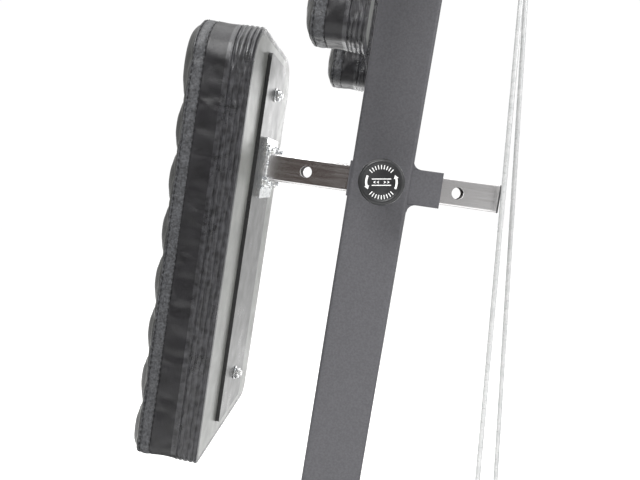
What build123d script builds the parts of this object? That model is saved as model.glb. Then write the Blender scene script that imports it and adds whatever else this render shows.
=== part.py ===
"""Seated cable row with a sliding chest pad, two handles, a seat and a weight stack.

The machine stands on the floor at Z = 0, its plane of symmetry is Y = 0, the user sits at -X and faces +X.
All sizes are in millimetres.
"""
import os
from math import atan2, cos, hypot, radians, sin, tan

from build123d import *

# ---------------------------------------------------------------- driving dimensions
FRAME_LENGTH = 1480.0        # front of the front foot to back of the rear foot
FOOT_SPAN = 600.0            # length of each cross foot
TUBE_W = 50.8                # width of the main 2 in x 3 in tube
TUBE_D = 76.2                # depth of the main tube
TUBE_WALL = 3.0
TUBE_R = 5.0                 # outer corner radius of a tube
CAP_T = 3.0                  # lip of a plastic end cap
CAP_PLUG = 16.0              # length of its plug
RUBBER_T = 12.0              # rubber foot
RUBBER_SIDE = 50.0
ANCHOR_Y = 220.0             # floor anchor hole from the centre
ANCHOR_R = 5.5

KNOB_X = 45.0                # lock knob axis
KNOB_Z = 950.0
UPRIGHT_RAKE = 9.0           # degrees, top towards the stack
UPRIGHT_SHIFT = -1.4         # upright centre line from the knob axis
BOOM_Z = 1950.0              # centre of the top boom
BOOM_FRONT = 150.0
BOOM_REAR = 705.0
COLUMN_X = 665.0             # centre of the rear column

BAR_TILT = 8.1               # degrees, rear end low
BAR_SIDE = 35.0
BAR_WALL = 2.5
BAR_REAR = 146.0             # rear end of the bar, from the knob axis
BAR_PITCH = 96.0             # lock holes along the bar
LOCK_HOLE_D = 15.0
SLIDE_GAP = 0.3              # bar to liner
LINER_T = 1.9
SLEEVE_WALL = 2.5
SLEEVE_FRONT = -41.5
SLEEVE_REAR = 75.0
WELD_R = 10.0

PIN_D = 14.0                 # lock pin
PIN_FIT = 0.08               # radial running clearance of pins and bearings
PIN_CLEAR = 0.4              # radial clearance in a drilled wall
PIN_TIP = -19.0              # tip of the drawn pin
COLLAR_D = 30.0
COLLAR_LENGTH = 28.6
COLLAR_END = 4.0             # end wall of the collar
SPRING_SEAT = 8.0            # spring length with the pin drawn
FLANGE_T = 3.0
KNOB_D = 54.0
KNOB_FACE = -88.0
KNOB_T = 20.0
KNOB_HUB_T = 1.5

PAD_TILT = 9.0               # degrees
PAD_BACK = -157.5            # back of the chest board, from the knob axis
PAD_WIDTH = 267.0
PAD_LOW = -358.5
PAD_HIGH = 154.0
PAD_THICK_LOW = 80.0
PAD_THICK_HIGH = 77.0
PAD_CORNER = 50.0            # top corners seen from the front
PAD_CORNER_LOW = 18.0        # bottom corners
PAD_EDGE = 14.0              # rounding of the front edge
BOARD_T = 15.0
BOARD_INSET = 9.0            # vinyl and foam outside the board's edge
BOARD_GAP = 0.2
PLATE_T = 5.0                # stiffener plate
PLATE_W = 114.0
PLATE_LOW = -331.5
PLATE_HIGH = 132.5
PLATE_BOLT_LOW = -281.5
PLATE_BOLT_HIGH = 89.5
BRACKET_T = 6.0
BRACKET_W = 80.0
BRACKET_H = 76.0
BRACKET_DROP = -5.0          # bracket centre from the knob axis
BRACKET_BOLT_DROP = -2.6     # centre of its bolts, in line with the bar
BRACKET_BOLT_Y = 33.0
BRACKET_BOLT_Z = 20.5
M8 = 8.0
NUT_AF = 13.0
NUT_T = 6.5
THREAD_OUT = 3.5

UPPER_IN = 100.0             # inner and outer sides of each upper cushion
UPPER_OUT = 180.0
UPPER_THICK = 63.0
UPPER_LOW = 132.0
UPPER_LENGTH = 330.0
UPPER_CORNER = 20.0
ARM_SIDE = 38.1
ARM_Z = 350.0

CABLE_D = 6.35
CABLE_GAP = 0.3              # cable to groove
RUN_Y = 40.0                 # each vertical run from the centre
PULLEY_R = 40.0              # cable centre line on a pulley
PULLEY_RIM = 6.0             # rim beyond the cable centre line
PULLEY_W = 20.0
HUB_R = 12.0                 # inner sleeve of a pulley
AXLE_D = 10.0
TOP_PULLEY_X = KNOB_X + 250.8
RUN_BASE_RIGHT = KNOB_X + 103.4  # foot of the right run, which is the near one
RUN_BASE_LEFT = KNOB_X + 149.8   # foot of the left run
LATERAL_Z = 225.0            # right cable below its corner pulley
PULL_ANGLE = 40.0            # pull direction above the horizontal
SIDE_PLATE_GAP = 4.0         # corner pulley to side plate, and side plate to exit pulley
SIDE_PLATE_T = 6.0
CHEEK_T = 4.0
CHEEK_GAP = 2.5
CHEEK_W = 36.0
MID_PLATE_T = 8.0
LOW_PLATE_RISE = 24.0        # low pulley plates above the corner pulley axis

STACK_X = 545.0
ROD_Y = 90.0
ROD_D = 25.0
ROD_GAP = 0.5
ROD_PLATE_T = 8.0
CUSHION_T = 25.0
WEIGHT_X = 100.0
WEIGHT_Y = 260.0
WEIGHT_Z = 25.4
WEIGHT_PITCH = 26.0
RESTING_COUNT = 9
LIFTED_COUNT = 5
STEM_D = 25.0
SELECTOR_D = 9.5
FLOAT_RISE = 66.0            # floating pulley axis above the top plate

HANDLE_START = 45.0          # cable end of the right handle, from its exit tangent
HOOK_LENGTH = 34.0
STIRRUP_ROD = 10.0
STIRRUP_REACH = 88.0         # eye to grip axis
GRIP_LENGTH = 108.0
GRIP_D = 32.0
GRIP_END_GAP = 1.0

FOOT_TUBE_X = KNOB_X - 208.0
FOOT_PLATE_W = 130.0
FOOT_PLATE_L = 240.0
FOOT_PLATE_T = 5.0
FOOT_PLATE_Y = 125.0
FOOT_PLATE_ANGLE = 60.0
REST_TUBE = 25.4
REST_X = KNOB_X - 45.0

SEAT_X = -475.0
SEAT_POST = 50.8
SEAT_GAP = 0.5
SEAT_SLEEVE_TOP = 300.0
SEAT_POST_LOW = 110.0
SEAT_PLATE_Z = 350.0
SEAT_PLATE_SIDE = 200.0
SEAT_LENGTH = 320.0
SEAT_WIDTH = 300.0
SEAT_CUSHION_T = 60.0
SEAT_PIN_Z = 262.0
SEAT_PIN_D = 10.0
SEAT_HOLE_PITCH = 30.0
SEAT_HOLES = 5

# ---------------------------------------------------------------- derived places
BEAM_LOW = RUBBER_T
BEAM_TOP = RUBBER_T + TUBE_D
BOOM_LOW = BOOM_Z - TUBE_D / 2
FOOT_X = FRAME_LENGTH / 2 - TUBE_W / 2
PULLEY_OUT = PULLEY_R + PULLEY_RIM
PULL = Vector(-cos(radians(PULL_ANGLE)), 0, sin(radians(PULL_ANGLE)))
ACROSS = Vector(sin(radians(PULL_ANGLE)), 0, cos(radians(PULL_ANGLE)))
LINER_OUT = BAR_SIDE + 2 * SLIDE_GAP + 2 * LINER_T
SLEEVE_OUT = LINER_OUT + 2 * SLEEVE_WALL
UPRIGHT_AT = Location((KNOB_X, 0, KNOB_Z), (0, UPRIGHT_RAKE, 0))
BAR_AT = Location((KNOB_X, 0, KNOB_Z), (0, BAR_TILT, 0))
PAD_AT = Location((KNOB_X, 0, KNOB_Z), (0, PAD_TILT, 0))
STACK_LOW = BEAM_TOP + ROD_PLATE_T + CUSHION_T
LIFTED_LOW = STACK_LOW + RESTING_COUNT * WEIGHT_PITCH
TOP_PLATE_LOW = LIFTED_LOW + LIFTED_COUNT * WEIGHT_PITCH
TOP_PLATE_TOP = TOP_PLATE_LOW + WEIGHT_Z
FLOAT_Z = TOP_PLATE_TOP + FLOAT_RISE
REAR_PULLEY_X = STACK_X - PULLEY_R
CORNER_Y = RUN_Y + PULLEY_R
SIDE_PLATE_Y = CORNER_Y + PULLEY_OUT + SIDE_PLATE_GAP
EXIT_Y = SIDE_PLATE_Y + SIDE_PLATE_T + SIDE_PLATE_GAP + PULLEY_OUT
HANDLE_Y = EXIT_Y + PULLEY_R

nodes = {}


# ---------------------------------------------------------------- shared shapes
def block(x0, x1, y0, y1, z0, z1):
    """Box between two corners."""
    return Pos((x0 + x1) / 2, (y0 + y1) / 2, (z0 + z1) / 2) * Box(x1 - x0, y1 - y0, z1 - z0)


def tube(x_size, y_size, length, wall=TUBE_WALL, corner=TUBE_R):
    """Hollow rectangular tube centred on its own Z axis."""
    outer = extrude(RectangleRounded(x_size, y_size, corner), length / 2, both=True)
    hollow = RectangleRounded(x_size - 2 * wall, y_size - 2 * wall, max(corner - wall, 0.5))
    core = extrude(hollow, length / 2, both=True)
    return outer - core


def along_x(shape):
    """Turn a shape from the Z axis to the X axis, its own X becoming vertical."""
    return Rot(0, 90, 0) * shape


def along_y(shape):
    """Turn a shape from the Z axis to the Y axis."""
    return Rot(90, 0, 0) * shape


def rod(start, end, diameter):
    """Round bar from one point to another."""
    start = Vector(*start)
    axis = Vector(*end) - start
    return extrude(Plane(start, z_dir=axis) * Circle(diameter / 2), axis.length)


def ring_rod(start, end, outer, inner):
    """Round sleeve from one point to another."""
    return rod(start, end, outer) - rod(start, end, inner)


def hexagon(start, direction, flats, length):
    """Hexagonal head or nut."""
    plane = Plane(Vector(*start), z_dir=Vector(*direction))
    return extrude(plane * RegularPolygon(flats / 2, 6, major_radius=False), length)


def nut(start, direction, flats, bore):
    """Hexagonal nut, sitting on the start point."""
    end = Vector(*start) + Vector(*direction).normalized() * NUT_T
    return hexagon(start, direction, flats, NUT_T) - rod(start, end, bore)


def pulley(centre, axis):
    """Grooved pulley around its inner sleeve."""
    half = PULLEY_W / 2
    groove = CABLE_D / 2 + CABLE_GAP
    bore = HUB_R + PIN_FIT
    with BuildSketch(Plane.XZ) as section:
        with Locations(((bore + PULLEY_OUT) / 2, 0)):
            Rectangle(PULLEY_OUT - bore, PULLEY_W)
        with Locations((PULLEY_R, 0)):
            Circle(groove, mode=Mode.SUBTRACT)
        with BuildLine():
            mouth = half - 2
            Polyline((PULLEY_R, -groove), (PULLEY_OUT + 1, -mouth), (PULLEY_OUT + 1, mouth),
                     (PULLEY_R, groove), close=True)
        make_face(mode=Mode.SUBTRACT)
        for side in (-1, 1):
            with Locations(((HUB_R + PULLEY_R) / 2 + 2, side * half)):
                Rectangle(PULLEY_R - HUB_R - 12, 9, mode=Mode.SUBTRACT)
    wheel = revolve(section.sketch, Axis.Z)
    return Plane(Vector(*centre), z_dir=Vector(*axis)).location * wheel


def face_outline(width, low, high, corner, corner_low):
    """Outline of a pad seen from the front, in the YZ plane, with its own top and bottom corner radii."""
    outline = Pos(0, (low + high) / 2) * Rectangle(width, high - low)
    tops = outline.vertices().sort_by(Axis.Y)[-2:]
    outline = fillet(tops, corner)
    bottoms = outline.vertices().sort_by(Axis.Y)[:2]
    return Plane.YZ * fillet(bottoms, corner_low)


def cushion(width, low, high, thick_low, thick_high, corner, corner_low, edge):
    """Cushion in its own frame: back at x = 0, front towards -X, with a pocket for its board."""
    with BuildSketch(Plane.XZ) as side:
        with BuildLine():
            Polyline((0, low), (-thick_low, low), (-thick_high, high), (0, high), close=True)
        make_face()
    slab = extrude(side.sketch, width / 2, both=True)
    reach = max(thick_low, thick_high) + 1
    outline = face_outline(width, low, high, corner, corner_low)
    body = slab & Pos(-reach, 0, 0) * extrude(outline, reach)
    front = body.faces().sort_by(Axis.X)[0]
    body = fillet(front.edges(), edge)
    return body - board(width, low, high, corner, corner_low, BOARD_INSET - BOARD_GAP, BOARD_T + BOARD_GAP)


def board(width, low, high, corner, corner_low, inset=BOARD_INSET, thickness=BOARD_T):
    """Backing board of a cushion, its back at x = 0."""
    outline = face_outline(width - 2 * inset, low + inset, high - inset, corner - inset, corner_low - inset)
    return Pos(-thickness, 0, 0) * extrude(outline, thickness)


# ---------------------------------------------------------------- base and main frame
def make_base():
    beam_length = 2 * FOOT_X - TUBE_W
    beam = Pos(0, 0, BEAM_LOW + TUBE_D / 2) * along_x(tube(TUBE_D, TUBE_W, beam_length))
    nodes["base_beam"] = beam
    feet = []
    caps = []
    pads = []
    for end in (-1, 1):
        centre = Pos(end * FOOT_X, 0, BEAM_LOW + TUBE_W / 2)
        foot = centre * along_y(tube(TUBE_W, TUBE_W, FOOT_SPAN))
        for side in (-1, 1):
            anchor_y = side * ANCHOR_Y
            hole = rod((end * FOOT_X, anchor_y, 0), (end * FOOT_X, anchor_y, TUBE_D), 2 * ANCHOR_R)
            foot -= hole
            face_y = side * FOOT_SPAN / 2
            foot_end = Location((end * FOOT_X, face_y, BEAM_LOW + TUBE_W / 2), (-90 * side, 0, 0))
            caps.append(end_cap(TUBE_W, TUBE_W, foot_end))
            pad_y = side * (FOOT_SPAN / 2 - RUBBER_SIDE / 2)
            pads.append(Pos(end * FOOT_X, pad_y, RUBBER_T / 2) * Box(TUBE_W, RUBBER_SIDE, RUBBER_T))
        feet.append(foot)
    boom_end = Location((BOOM_REAR, 0, BOOM_Z), (0, 90, 0))
    boom_start = Location((BOOM_FRONT, 0, BOOM_Z), (0, -90, 0))
    caps.append(end_cap(TUBE_D, TUBE_W, boom_end))
    caps.append(end_cap(TUBE_D, TUBE_W, boom_start))
    nodes["cross_feet"] = Compound(children=feet)
    nodes["tube_end_caps"] = Compound(children=caps)
    nodes["rubber_feet"] = Compound(children=pads)


def end_cap(x_size, y_size, at):
    """Plastic cap with a hollow plug, its lip outside the tube's end at the given place."""
    lip = extrude(RectangleRounded(x_size, y_size, TUBE_R), CAP_T)
    lip = fillet(lip.edges().group_by(Axis.Z)[-1], CAP_T * 0.6)
    inner = 2 * TUBE_WALL
    plug = tube(x_size - inner, y_size - inner, CAP_PLUG, 2.0, TUBE_R - TUBE_WALL)
    return at * (lip + Pos(0, 0, -CAP_PLUG / 2) * plug)


def upright_solid(grow=0.0):
    """Solid outline of the raked upright between the beam and the boom."""
    shape = extrude(RectangleRounded(TUBE_D + grow, TUBE_W + grow, TUBE_R), KNOB_Z * 1.2, both=True)
    raked = UPRIGHT_AT * Pos(UPRIGHT_SHIFT, 0, 0) * shape
    return raked & block(-2000, 2000, -200, 200, BEAM_TOP, BOOM_LOW)


def lock_hole(low_y, high_y, diameter):
    """Hole of the chest lock pin."""
    return rod((KNOB_X, low_y, KNOB_Z), (KNOB_X, high_y, KNOB_Z), diameter)


def make_upright():
    hollow = RectangleRounded(TUBE_D - 2 * TUBE_WALL, TUBE_W - 2 * TUBE_WALL, TUBE_R - TUBE_WALL)
    core = extrude(hollow, 2 * KNOB_Z, both=True)
    sleeve_hole = BAR_AT * Box(4 * TUBE_D, SLEEVE_OUT, SLEEVE_OUT)
    shell = upright_solid() - UPRIGHT_AT * Pos(UPRIGHT_SHIFT, 0, 0) * core - sleeve_hole
    shell -= lock_hole(-TUBE_W, 0, PIN_D + 2 * PIN_CLEAR)
    nodes["upright"] = shell

    length = SLEEVE_REAR - SLEEVE_FRONT
    middle = (SLEEVE_REAR + SLEEVE_FRONT) / 2
    outer = BAR_AT * Pos(middle, 0, 0) * along_x(
        extrude(RectangleRounded(SLEEVE_OUT, SLEEVE_OUT, 1.2), length / 2, both=True))
    welds = []
    for side in (-1, 1):
        welds.append(BAR_AT * weld(side))
    liner_space = BAR_AT * Box(4 * TUBE_D, LINER_OUT, LINER_OUT)
    sleeve = outer + [bead - upright_solid() for bead in welds] - liner_space
    nodes["pad_bar_sleeve"] = sleeve - lock_hole(-TUBE_W, 0, PIN_D + 2 * PIN_CLEAR)
    bar_space = BAR_SIDE + 2 * SLIDE_GAP
    liner = Pos(middle, 0, 0) * (Box(length, LINER_OUT, LINER_OUT) - Box(length + 2, bar_space, bar_space))
    nodes["sleeve_liner"] = BAR_AT * liner - lock_hole(-TUBE_W, 0, PIN_D + 2 * PIN_CLEAR)


def weld(side):
    """Hollow fillet between the sleeve and the back of the upright, above or below."""
    back = TUBE_D / 2 + UPRIGHT_SHIFT
    corner_z = side * SLEEVE_OUT / 2
    fill = block(back - 6, back + WELD_R, -SLEEVE_OUT / 2, SLEEVE_OUT / 2,
                 min(corner_z, corner_z + side * WELD_R), max(corner_z, corner_z + side * WELD_R))
    centre = (back + WELD_R, corner_z + side * WELD_R)
    hollow = rod((centre[0], -TUBE_W, centre[1]), (centre[0], TUBE_W, centre[1]), 2 * WELD_R)
    return fill - hollow


def make_collars():
    face = -TUBE_W / 2
    end = face - COLLAR_LENGTH
    cavity = COLLAR_D - 9
    collar = rod((KNOB_X, face, KNOB_Z), (KNOB_X, end, KNOB_Z), COLLAR_D)
    collar -= rod((KNOB_X, face, KNOB_Z), (KNOB_X, end + COLLAR_END, KNOB_Z), cavity)
    collar -= lock_hole(end - 1, 0, PIN_D + 2 * PIN_FIT)
    seat_face = -seat_sleeve_side() / 2
    seat_collar = ring_rod((SEAT_X, seat_face, SEAT_PIN_Z), (SEAT_X, seat_face - 24, SEAT_PIN_Z), 22,
                           SEAT_PIN_D + 2 * PIN_FIT)
    nodes["lock_collars"] = Compound(children=[collar, seat_collar])


def make_top():
    boom_length = BOOM_REAR - BOOM_FRONT
    boom = Pos((BOOM_REAR + BOOM_FRONT) / 2, 0, BOOM_Z) * along_x(tube(TUBE_D, TUBE_W, boom_length))
    for x in (TOP_PULLEY_X, REAR_PULLEY_X):
        boom -= rod((x, -TUBE_W, BOOM_Z), (x, TUBE_W, BOOM_Z), AXLE_D)
    nodes["top_boom"] = boom
    height = BOOM_LOW - BEAM_TOP
    nodes["rear_column"] = Pos(COLUMN_X, 0, BEAM_TOP + height / 2) * tube(TUBE_D, TUBE_W, height)


# ---------------------------------------------------------------- weight stack
def rod_holes(low, high, diameter):
    """The two guide rod holes."""
    holes = [rod((STACK_X, side * ROD_Y, low), (STACK_X, side * ROD_Y, high), diameter) for side in (-1, 1)]
    return holes[0] + holes[1]


def weight_plate(low, stem_hole):
    """One weight plate with its guide holes, stem hole and selector hole."""
    plate = Pos(STACK_X, 0, low + WEIGHT_Z / 2) * Box(WEIGHT_X, WEIGHT_Y, WEIGHT_Z)
    plate = fillet(plate.edges().filter_by(Axis.Z), 8)
    plate = chamfer(plate.edges().group_by(Axis.Z)[-1], 1.5)
    plate -= rod_holes(low - 1, low + WEIGHT_Z + 1, ROD_D + 2 * ROD_GAP)
    plate -= rod((STACK_X, 0, low - 1), (STACK_X, 0, low + WEIGHT_Z + 1), stem_hole)
    middle = low + WEIGHT_Z / 2
    return plate - rod((STACK_X - WEIGHT_X, 0, middle), (STACK_X, 0, middle), SELECTOR_D + 1)


def make_stack():
    top_low = BOOM_LOW - ROD_PLATE_T
    lower = Pos(STACK_X, 0, BEAM_TOP + ROD_PLATE_T / 2) * Box(WEIGHT_X, 2 * ROD_Y + 60, ROD_PLATE_T)
    upper = Pos(STACK_X, 0, top_low + ROD_PLATE_T / 2) * Box(60, 2 * ROD_Y + 60, ROD_PLATE_T)
    for side in (-1, 1):
        slot = PULLEY_W / 2 + 2
        upper -= block(STACK_X - 40, STACK_X + slot, side * RUN_Y - slot, side * RUN_Y + slot, top_low - 1,
                       BOOM_LOW + 1)
    nodes["guide_rod_plates"] = Compound(children=[lower, upper])
    rods = []
    rings = []
    for side in (-1, 1):
        foot = (STACK_X, side * ROD_Y, BEAM_TOP + ROD_PLATE_T)
        rods.append(rod(foot, (STACK_X, side * ROD_Y, top_low), ROD_D))
        rings.append(ring_rod(foot, (STACK_X, side * ROD_Y, STACK_LOW), 52, ROD_D))
    nodes["guide_rods"] = Compound(children=rods)
    nodes["stack_cushions"] = Compound(children=rings)
    free_hole = STEM_D + 2 * ROD_GAP
    resting = [weight_plate(STACK_LOW + i * WEIGHT_PITCH, free_hole) for i in range(RESTING_COUNT)]
    lifted = [weight_plate(LIFTED_LOW + i * WEIGHT_PITCH, STEM_D) for i in range(LIFTED_COUNT)]
    nodes["resting_weight_plates"] = Compound(children=resting)
    nodes["lifted_weight_plates"] = Compound(children=lifted)
    nodes["top_weight_plate"] = weight_plate(TOP_PLATE_LOW, STEM_D)
    stem = rod((STACK_X, 0, STACK_LOW + 6), (STACK_X, 0, TOP_PLATE_TOP), STEM_D)
    for i in range(RESTING_COUNT + LIFTED_COUNT):
        middle = STACK_LOW + i * WEIGHT_PITCH + WEIGHT_Z / 2
        stem -= rod((STACK_X - STEM_D, 0, middle), (STACK_X + STEM_D, 0, middle), SELECTOR_D + 1)
    nodes["selector_stem"] = stem

    pin_z = LIFTED_LOW + WEIGHT_Z / 2
    front = STACK_X - WEIGHT_X / 2
    pin = rod((front - 6, 0, pin_z), (STACK_X + STEM_D / 2 - 1, 0, pin_z), SELECTOR_D)
    grip = rod((front - 34, 0, pin_z), (front - 4, 0, pin_z), 20)
    flange = rod((front - 4, 0, pin_z), (front - 1, 0, pin_z), 28)
    grip = fillet(grip.edges().sort_by(Axis.X)[0], 5)
    nodes["selector_pin"] = pin + grip + flange

    cheek_x = PULLEY_W / 2 + CHEEK_GAP
    cheeks = []
    for side in (-1, 1):
        x0 = STACK_X + side * cheek_x
        x1 = x0 + side * CHEEK_T
        cheeks.append(block(min(x0, x1), max(x0, x1), -22, 22, TOP_PLATE_TOP, FLOAT_Z + 20))
    reach = cheek_x + CHEEK_T
    foot = block(STACK_X - reach, STACK_X + reach, -22, 22, TOP_PLATE_TOP, TOP_PLATE_TOP + 6)
    bracket = foot + cheeks[0] + cheeks[1]
    bracket += ring_rod((STACK_X - cheek_x, 0, FLOAT_Z), (STACK_X + cheek_x, 0, FLOAT_Z), 2 * HUB_R, AXLE_D)
    bracket -= rod((STACK_X - 30, 0, FLOAT_Z), (STACK_X + 30, 0, FLOAT_Z), AXLE_D)
    bolt = axle((STACK_X - cheek_x - CHEEK_T, 0, FLOAT_Z), (STACK_X + cheek_x + CHEEK_T, 0, FLOAT_Z))
    nodes["floating_pulley_bracket"] = Compound(children=[bracket] + bolt)
    nodes["floating_pulley"] = pulley((STACK_X, 0, FLOAT_Z), (1, 0, 0))


def axle(start, end):
    """Axle bolt between two faces, as a bolt and its nut."""
    start = Vector(*start)
    end = Vector(*end)
    way = (end - start).normalized()
    bolt = rod(start, end + way * (NUT_T + 2), AXLE_D) + hexagon(start - way * NUT_T, way, 16, NUT_T)
    return [bolt, nut(end, way, 16, AXLE_D)]


# ---------------------------------------------------------------- pulleys and cables
def run_foot(side):
    """X of the foot of a vertical run, and the height of its lateral cable."""
    if side < 0:
        return RUN_BASE_RIGHT, LATERAL_Z
    drop = (RUN_BASE_LEFT - RUN_BASE_RIGHT) * tan(radians(PULL_ANGLE))
    return RUN_BASE_LEFT, LATERAL_Z - drop


def run_tangent(side):
    """Points and direction of a vertical run, from its corner pulley to the top front pulley."""
    x, lateral = run_foot(side)
    low = Vector(x, side * RUN_Y, lateral + PULLEY_R)
    dx = TOP_PULLEY_X - low.X
    dz = BOOM_Z - low.Z
    lean = atan2(dx, dz) - atan2(PULLEY_R, (dx * dx + dz * dz - PULLEY_R ** 2) ** 0.5)
    way = Vector(sin(lean), 0, cos(lean))
    out = Vector(-cos(lean), 0, sin(lean))
    high = Vector(TOP_PULLEY_X, side * RUN_Y, BOOM_Z) + out * PULLEY_R
    return low, high, way


def cable_path(side):
    """Centre line of one cable, from its handle end to the point where it drops to the stack."""
    x, lateral = run_foot(side)
    run_low, high, way = run_tangent(side)
    inward = Vector(0, -side, 0)
    exit_centre = exit_place(side)
    start = exit_centre - inward * PULLEY_R
    leave = exit_centre - PULL * PULLEY_R
    mid_exit = exit_centre + (-inward - PULL).normalized() * PULLEY_R
    corner_centre = Vector(x, side * CORNER_Y, lateral + PULLEY_R)
    enter = corner_centre - way * PULLEY_R
    mid_corner = corner_centre + (inward - way).normalized() * PULLEY_R
    front = Vector(TOP_PULLEY_X, side * RUN_Y, BOOM_Z)
    rear = Vector(REAR_PULLEY_X, side * RUN_Y, BOOM_Z)
    up = Vector(0, 0, 1)
    ahead = Vector(1, 0, 0)
    out = (high - front).normalized()
    mid_front = front + (out + up).normalized() * PULLEY_R
    mid_rear = rear + (up + ahead).normalized() * PULLEY_R
    handle = start + PULL * handle_offset(side)
    return [
        Line(handle, start),
        ThreePointArc(start, mid_exit, leave),
        Line(leave, enter),
        ThreePointArc(enter, mid_corner, run_low),
        Line(run_low, high),
        ThreePointArc(high, mid_front, front + up * PULLEY_R),
        Line(front + up * PULLEY_R, rear + up * PULLEY_R),
        ThreePointArc(rear + up * PULLEY_R, mid_rear, rear + ahead * PULLEY_R),
    ]


def exit_place(side):
    """Centre of an exit pulley: its cable leaves level with the corner pulley's cable."""
    x, lateral = run_foot(side)
    enter = Vector(x, side * CORNER_Y, lateral + PULLEY_R) - run_tangent(side)[2] * PULLEY_R
    return Vector(enter.X, side * EXIT_Y, enter.Z) + PULL * PULLEY_R


def handle_offset(side):
    """Length of free cable from the exit tangent to the hook, so that both hooks are level."""
    own = exit_place(side)
    right = exit_place(-1)
    return HANDLE_START + (right - Vector(own.X, right.Y, own.Z)).dot(PULL)


def sweep_cable(edges):
    """Round cable along tangent lines and arcs, made span by span and joined."""
    spans = []
    for edge in edges:
        plane = Plane(edge @ 0, z_dir=edge % 0)
        spans.append(sweep(plane * Circle(CABLE_D / 2), path=edge))
    whole = spans[0]
    for span in spans[1:]:
        whole += span
    return whole


def make_cables():
    for side, name in ((-1, "right"), (1, "left")):
        nodes[name + "_cable"] = sweep_cable(cable_path(side))
    near_top = Vector(STACK_X, -RUN_Y, BOOM_Z)
    far_top = Vector(STACK_X, RUN_Y, BOOM_Z)
    near_turn = Vector(STACK_X, -RUN_Y, FLOAT_Z)
    far_turn = Vector(STACK_X, RUN_Y, FLOAT_Z)
    bottom = Vector(STACK_X, 0, FLOAT_Z - RUN_Y)
    nodes["stack_cable"] = sweep_cable([
        Line(near_top, near_turn),
        ThreePointArc(near_turn, bottom, far_turn),
        Line(far_turn, far_top),
    ])


def make_pulleys():
    axles = []
    for x, name in ((TOP_PULLEY_X, "top_front_pulleys"), (REAR_PULLEY_X, "top_rear_pulleys")):
        pair = [pulley((x, side * RUN_Y, BOOM_Z), (0, 1, 0)) for side in (-1, 1)]
        nodes[name] = Compound(children=pair)
        outer = RUN_Y + PULLEY_W / 2 + 1
        for side in (-1, 1):
            boom_face = side * TUBE_W / 2
            axles.append(ring_rod((x, boom_face, BOOM_Z), (x, side * outer, BOOM_Z), 2 * HUB_R, AXLE_D))
        axles += axle((x, -outer, BOOM_Z), (x, outer, BOOM_Z))
    mid_x = (RUN_BASE_RIGHT + RUN_BASE_LEFT) / 2
    for side, name in ((-1, "right"), (1, "left")):
        x, lateral = run_foot(side)
        centre = Vector(x, side * CORNER_Y, lateral + PULLEY_R)
        turn_axis = run_tangent(side)[2].cross(Vector(0, 1, 0))
        nodes["corner_pulley_" + name] = pulley(centre, turn_axis)
        toward = turn_axis if turn_axis.X * (mid_x - x) > 0 else -turn_axis
        outer = centre - toward * (PULLEY_W / 2 + 1)
        inner = centre + toward * (abs(mid_x - x) - MID_PLATE_T / 2)
        back = centre + toward * (abs(mid_x - x) + MID_PLATE_T / 2)
        low_frame = nodes["low_pulley_frame"]
        axles.append(ring_rod(outer, inner, 2 * HUB_R, AXLE_D) - low_frame)
        axles += [piece - low_frame for piece in axle(outer, back)]
        exit_centre = exit_place(side)
        nodes["exit_pulley_" + name] = pulley(exit_centre, ACROSS)
        inside = PULLEY_W / 2 + CHEEK_GAP
        hub_half = ACROSS * inside
        axles.append(ring_rod(exit_centre - hub_half, exit_centre + hub_half, 2 * HUB_R, AXLE_D))
        outside = inside + CHEEK_T
        axles += axle(exit_centre - ACROSS * outside, exit_centre + ACROSS * outside)
    nodes["pulley_axles"] = Compound(children=axles)


def make_low_frame():
    mid_x = (RUN_BASE_RIGHT + RUN_BASE_LEFT) / 2
    span = 2 * SIDE_PLATE_Y
    cross = Pos(mid_x, 0, BEAM_TOP + TUBE_D / 2) * along_y(tube(25.4, TUBE_D, span, TUBE_WALL, 4))
    tube_top = BEAM_TOP + TUBE_D
    plate_top = LATERAL_Z + PULLEY_R + LOW_PLATE_RISE
    half_t = MID_PLATE_T / 2
    frame = block(mid_x - half_t, mid_x + half_t, -SIDE_PLATE_Y, SIDE_PLATE_Y, tube_top, plate_top)
    for side in (-1, 1):
        centre = exit_place(side)
        x, lateral = run_foot(side)
        low_y = min(side * SIDE_PLATE_Y, side * (SIDE_PLATE_Y + SIDE_PLATE_T))
        plate = block(exit_place(-1).X - 32, RUN_BASE_LEFT + 18, low_y, low_y + SIDE_PLATE_T, tube_top - 30,
                      plate_top)
        pass_at = centre - PULL * PULLEY_R
        plate -= rod((pass_at.X, -400, pass_at.Z), (pass_at.X, 400, pass_at.Z), CABLE_D + 9)
        frame += plate
        at = Plane(centre, x_dir=PULL, z_dir=ACROSS)
        inner_y = SIDE_PLATE_Y + SIDE_PLATE_T
        length = EXIT_Y + CHEEK_W / 2 - inner_y
        shift = side * ((EXIT_Y + CHEEK_W / 2 + inner_y) / 2 - EXIT_Y)
        for face in (-1, 1):
            offset = face * (PULLEY_W / 2 + CHEEK_GAP + CHEEK_T / 2)
            frame += at.location * Pos(0, shift * at.y_dir.Y, offset) * Box(CHEEK_W, length, CHEEK_T)
        frame -= rod(centre - ACROSS * 30, centre + ACROSS * 30, AXLE_D)
        corner = Vector(x, side * CORNER_Y, lateral + PULLEY_R)
        turn_axis = run_tangent(side)[2].cross(Vector(0, 1, 0))
        frame -= rod(corner - turn_axis * 60, corner + turn_axis * 60, AXLE_D)
    nodes["low_pulley_frame"] = Compound(children=[cross] + list(frame.solids()))


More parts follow.
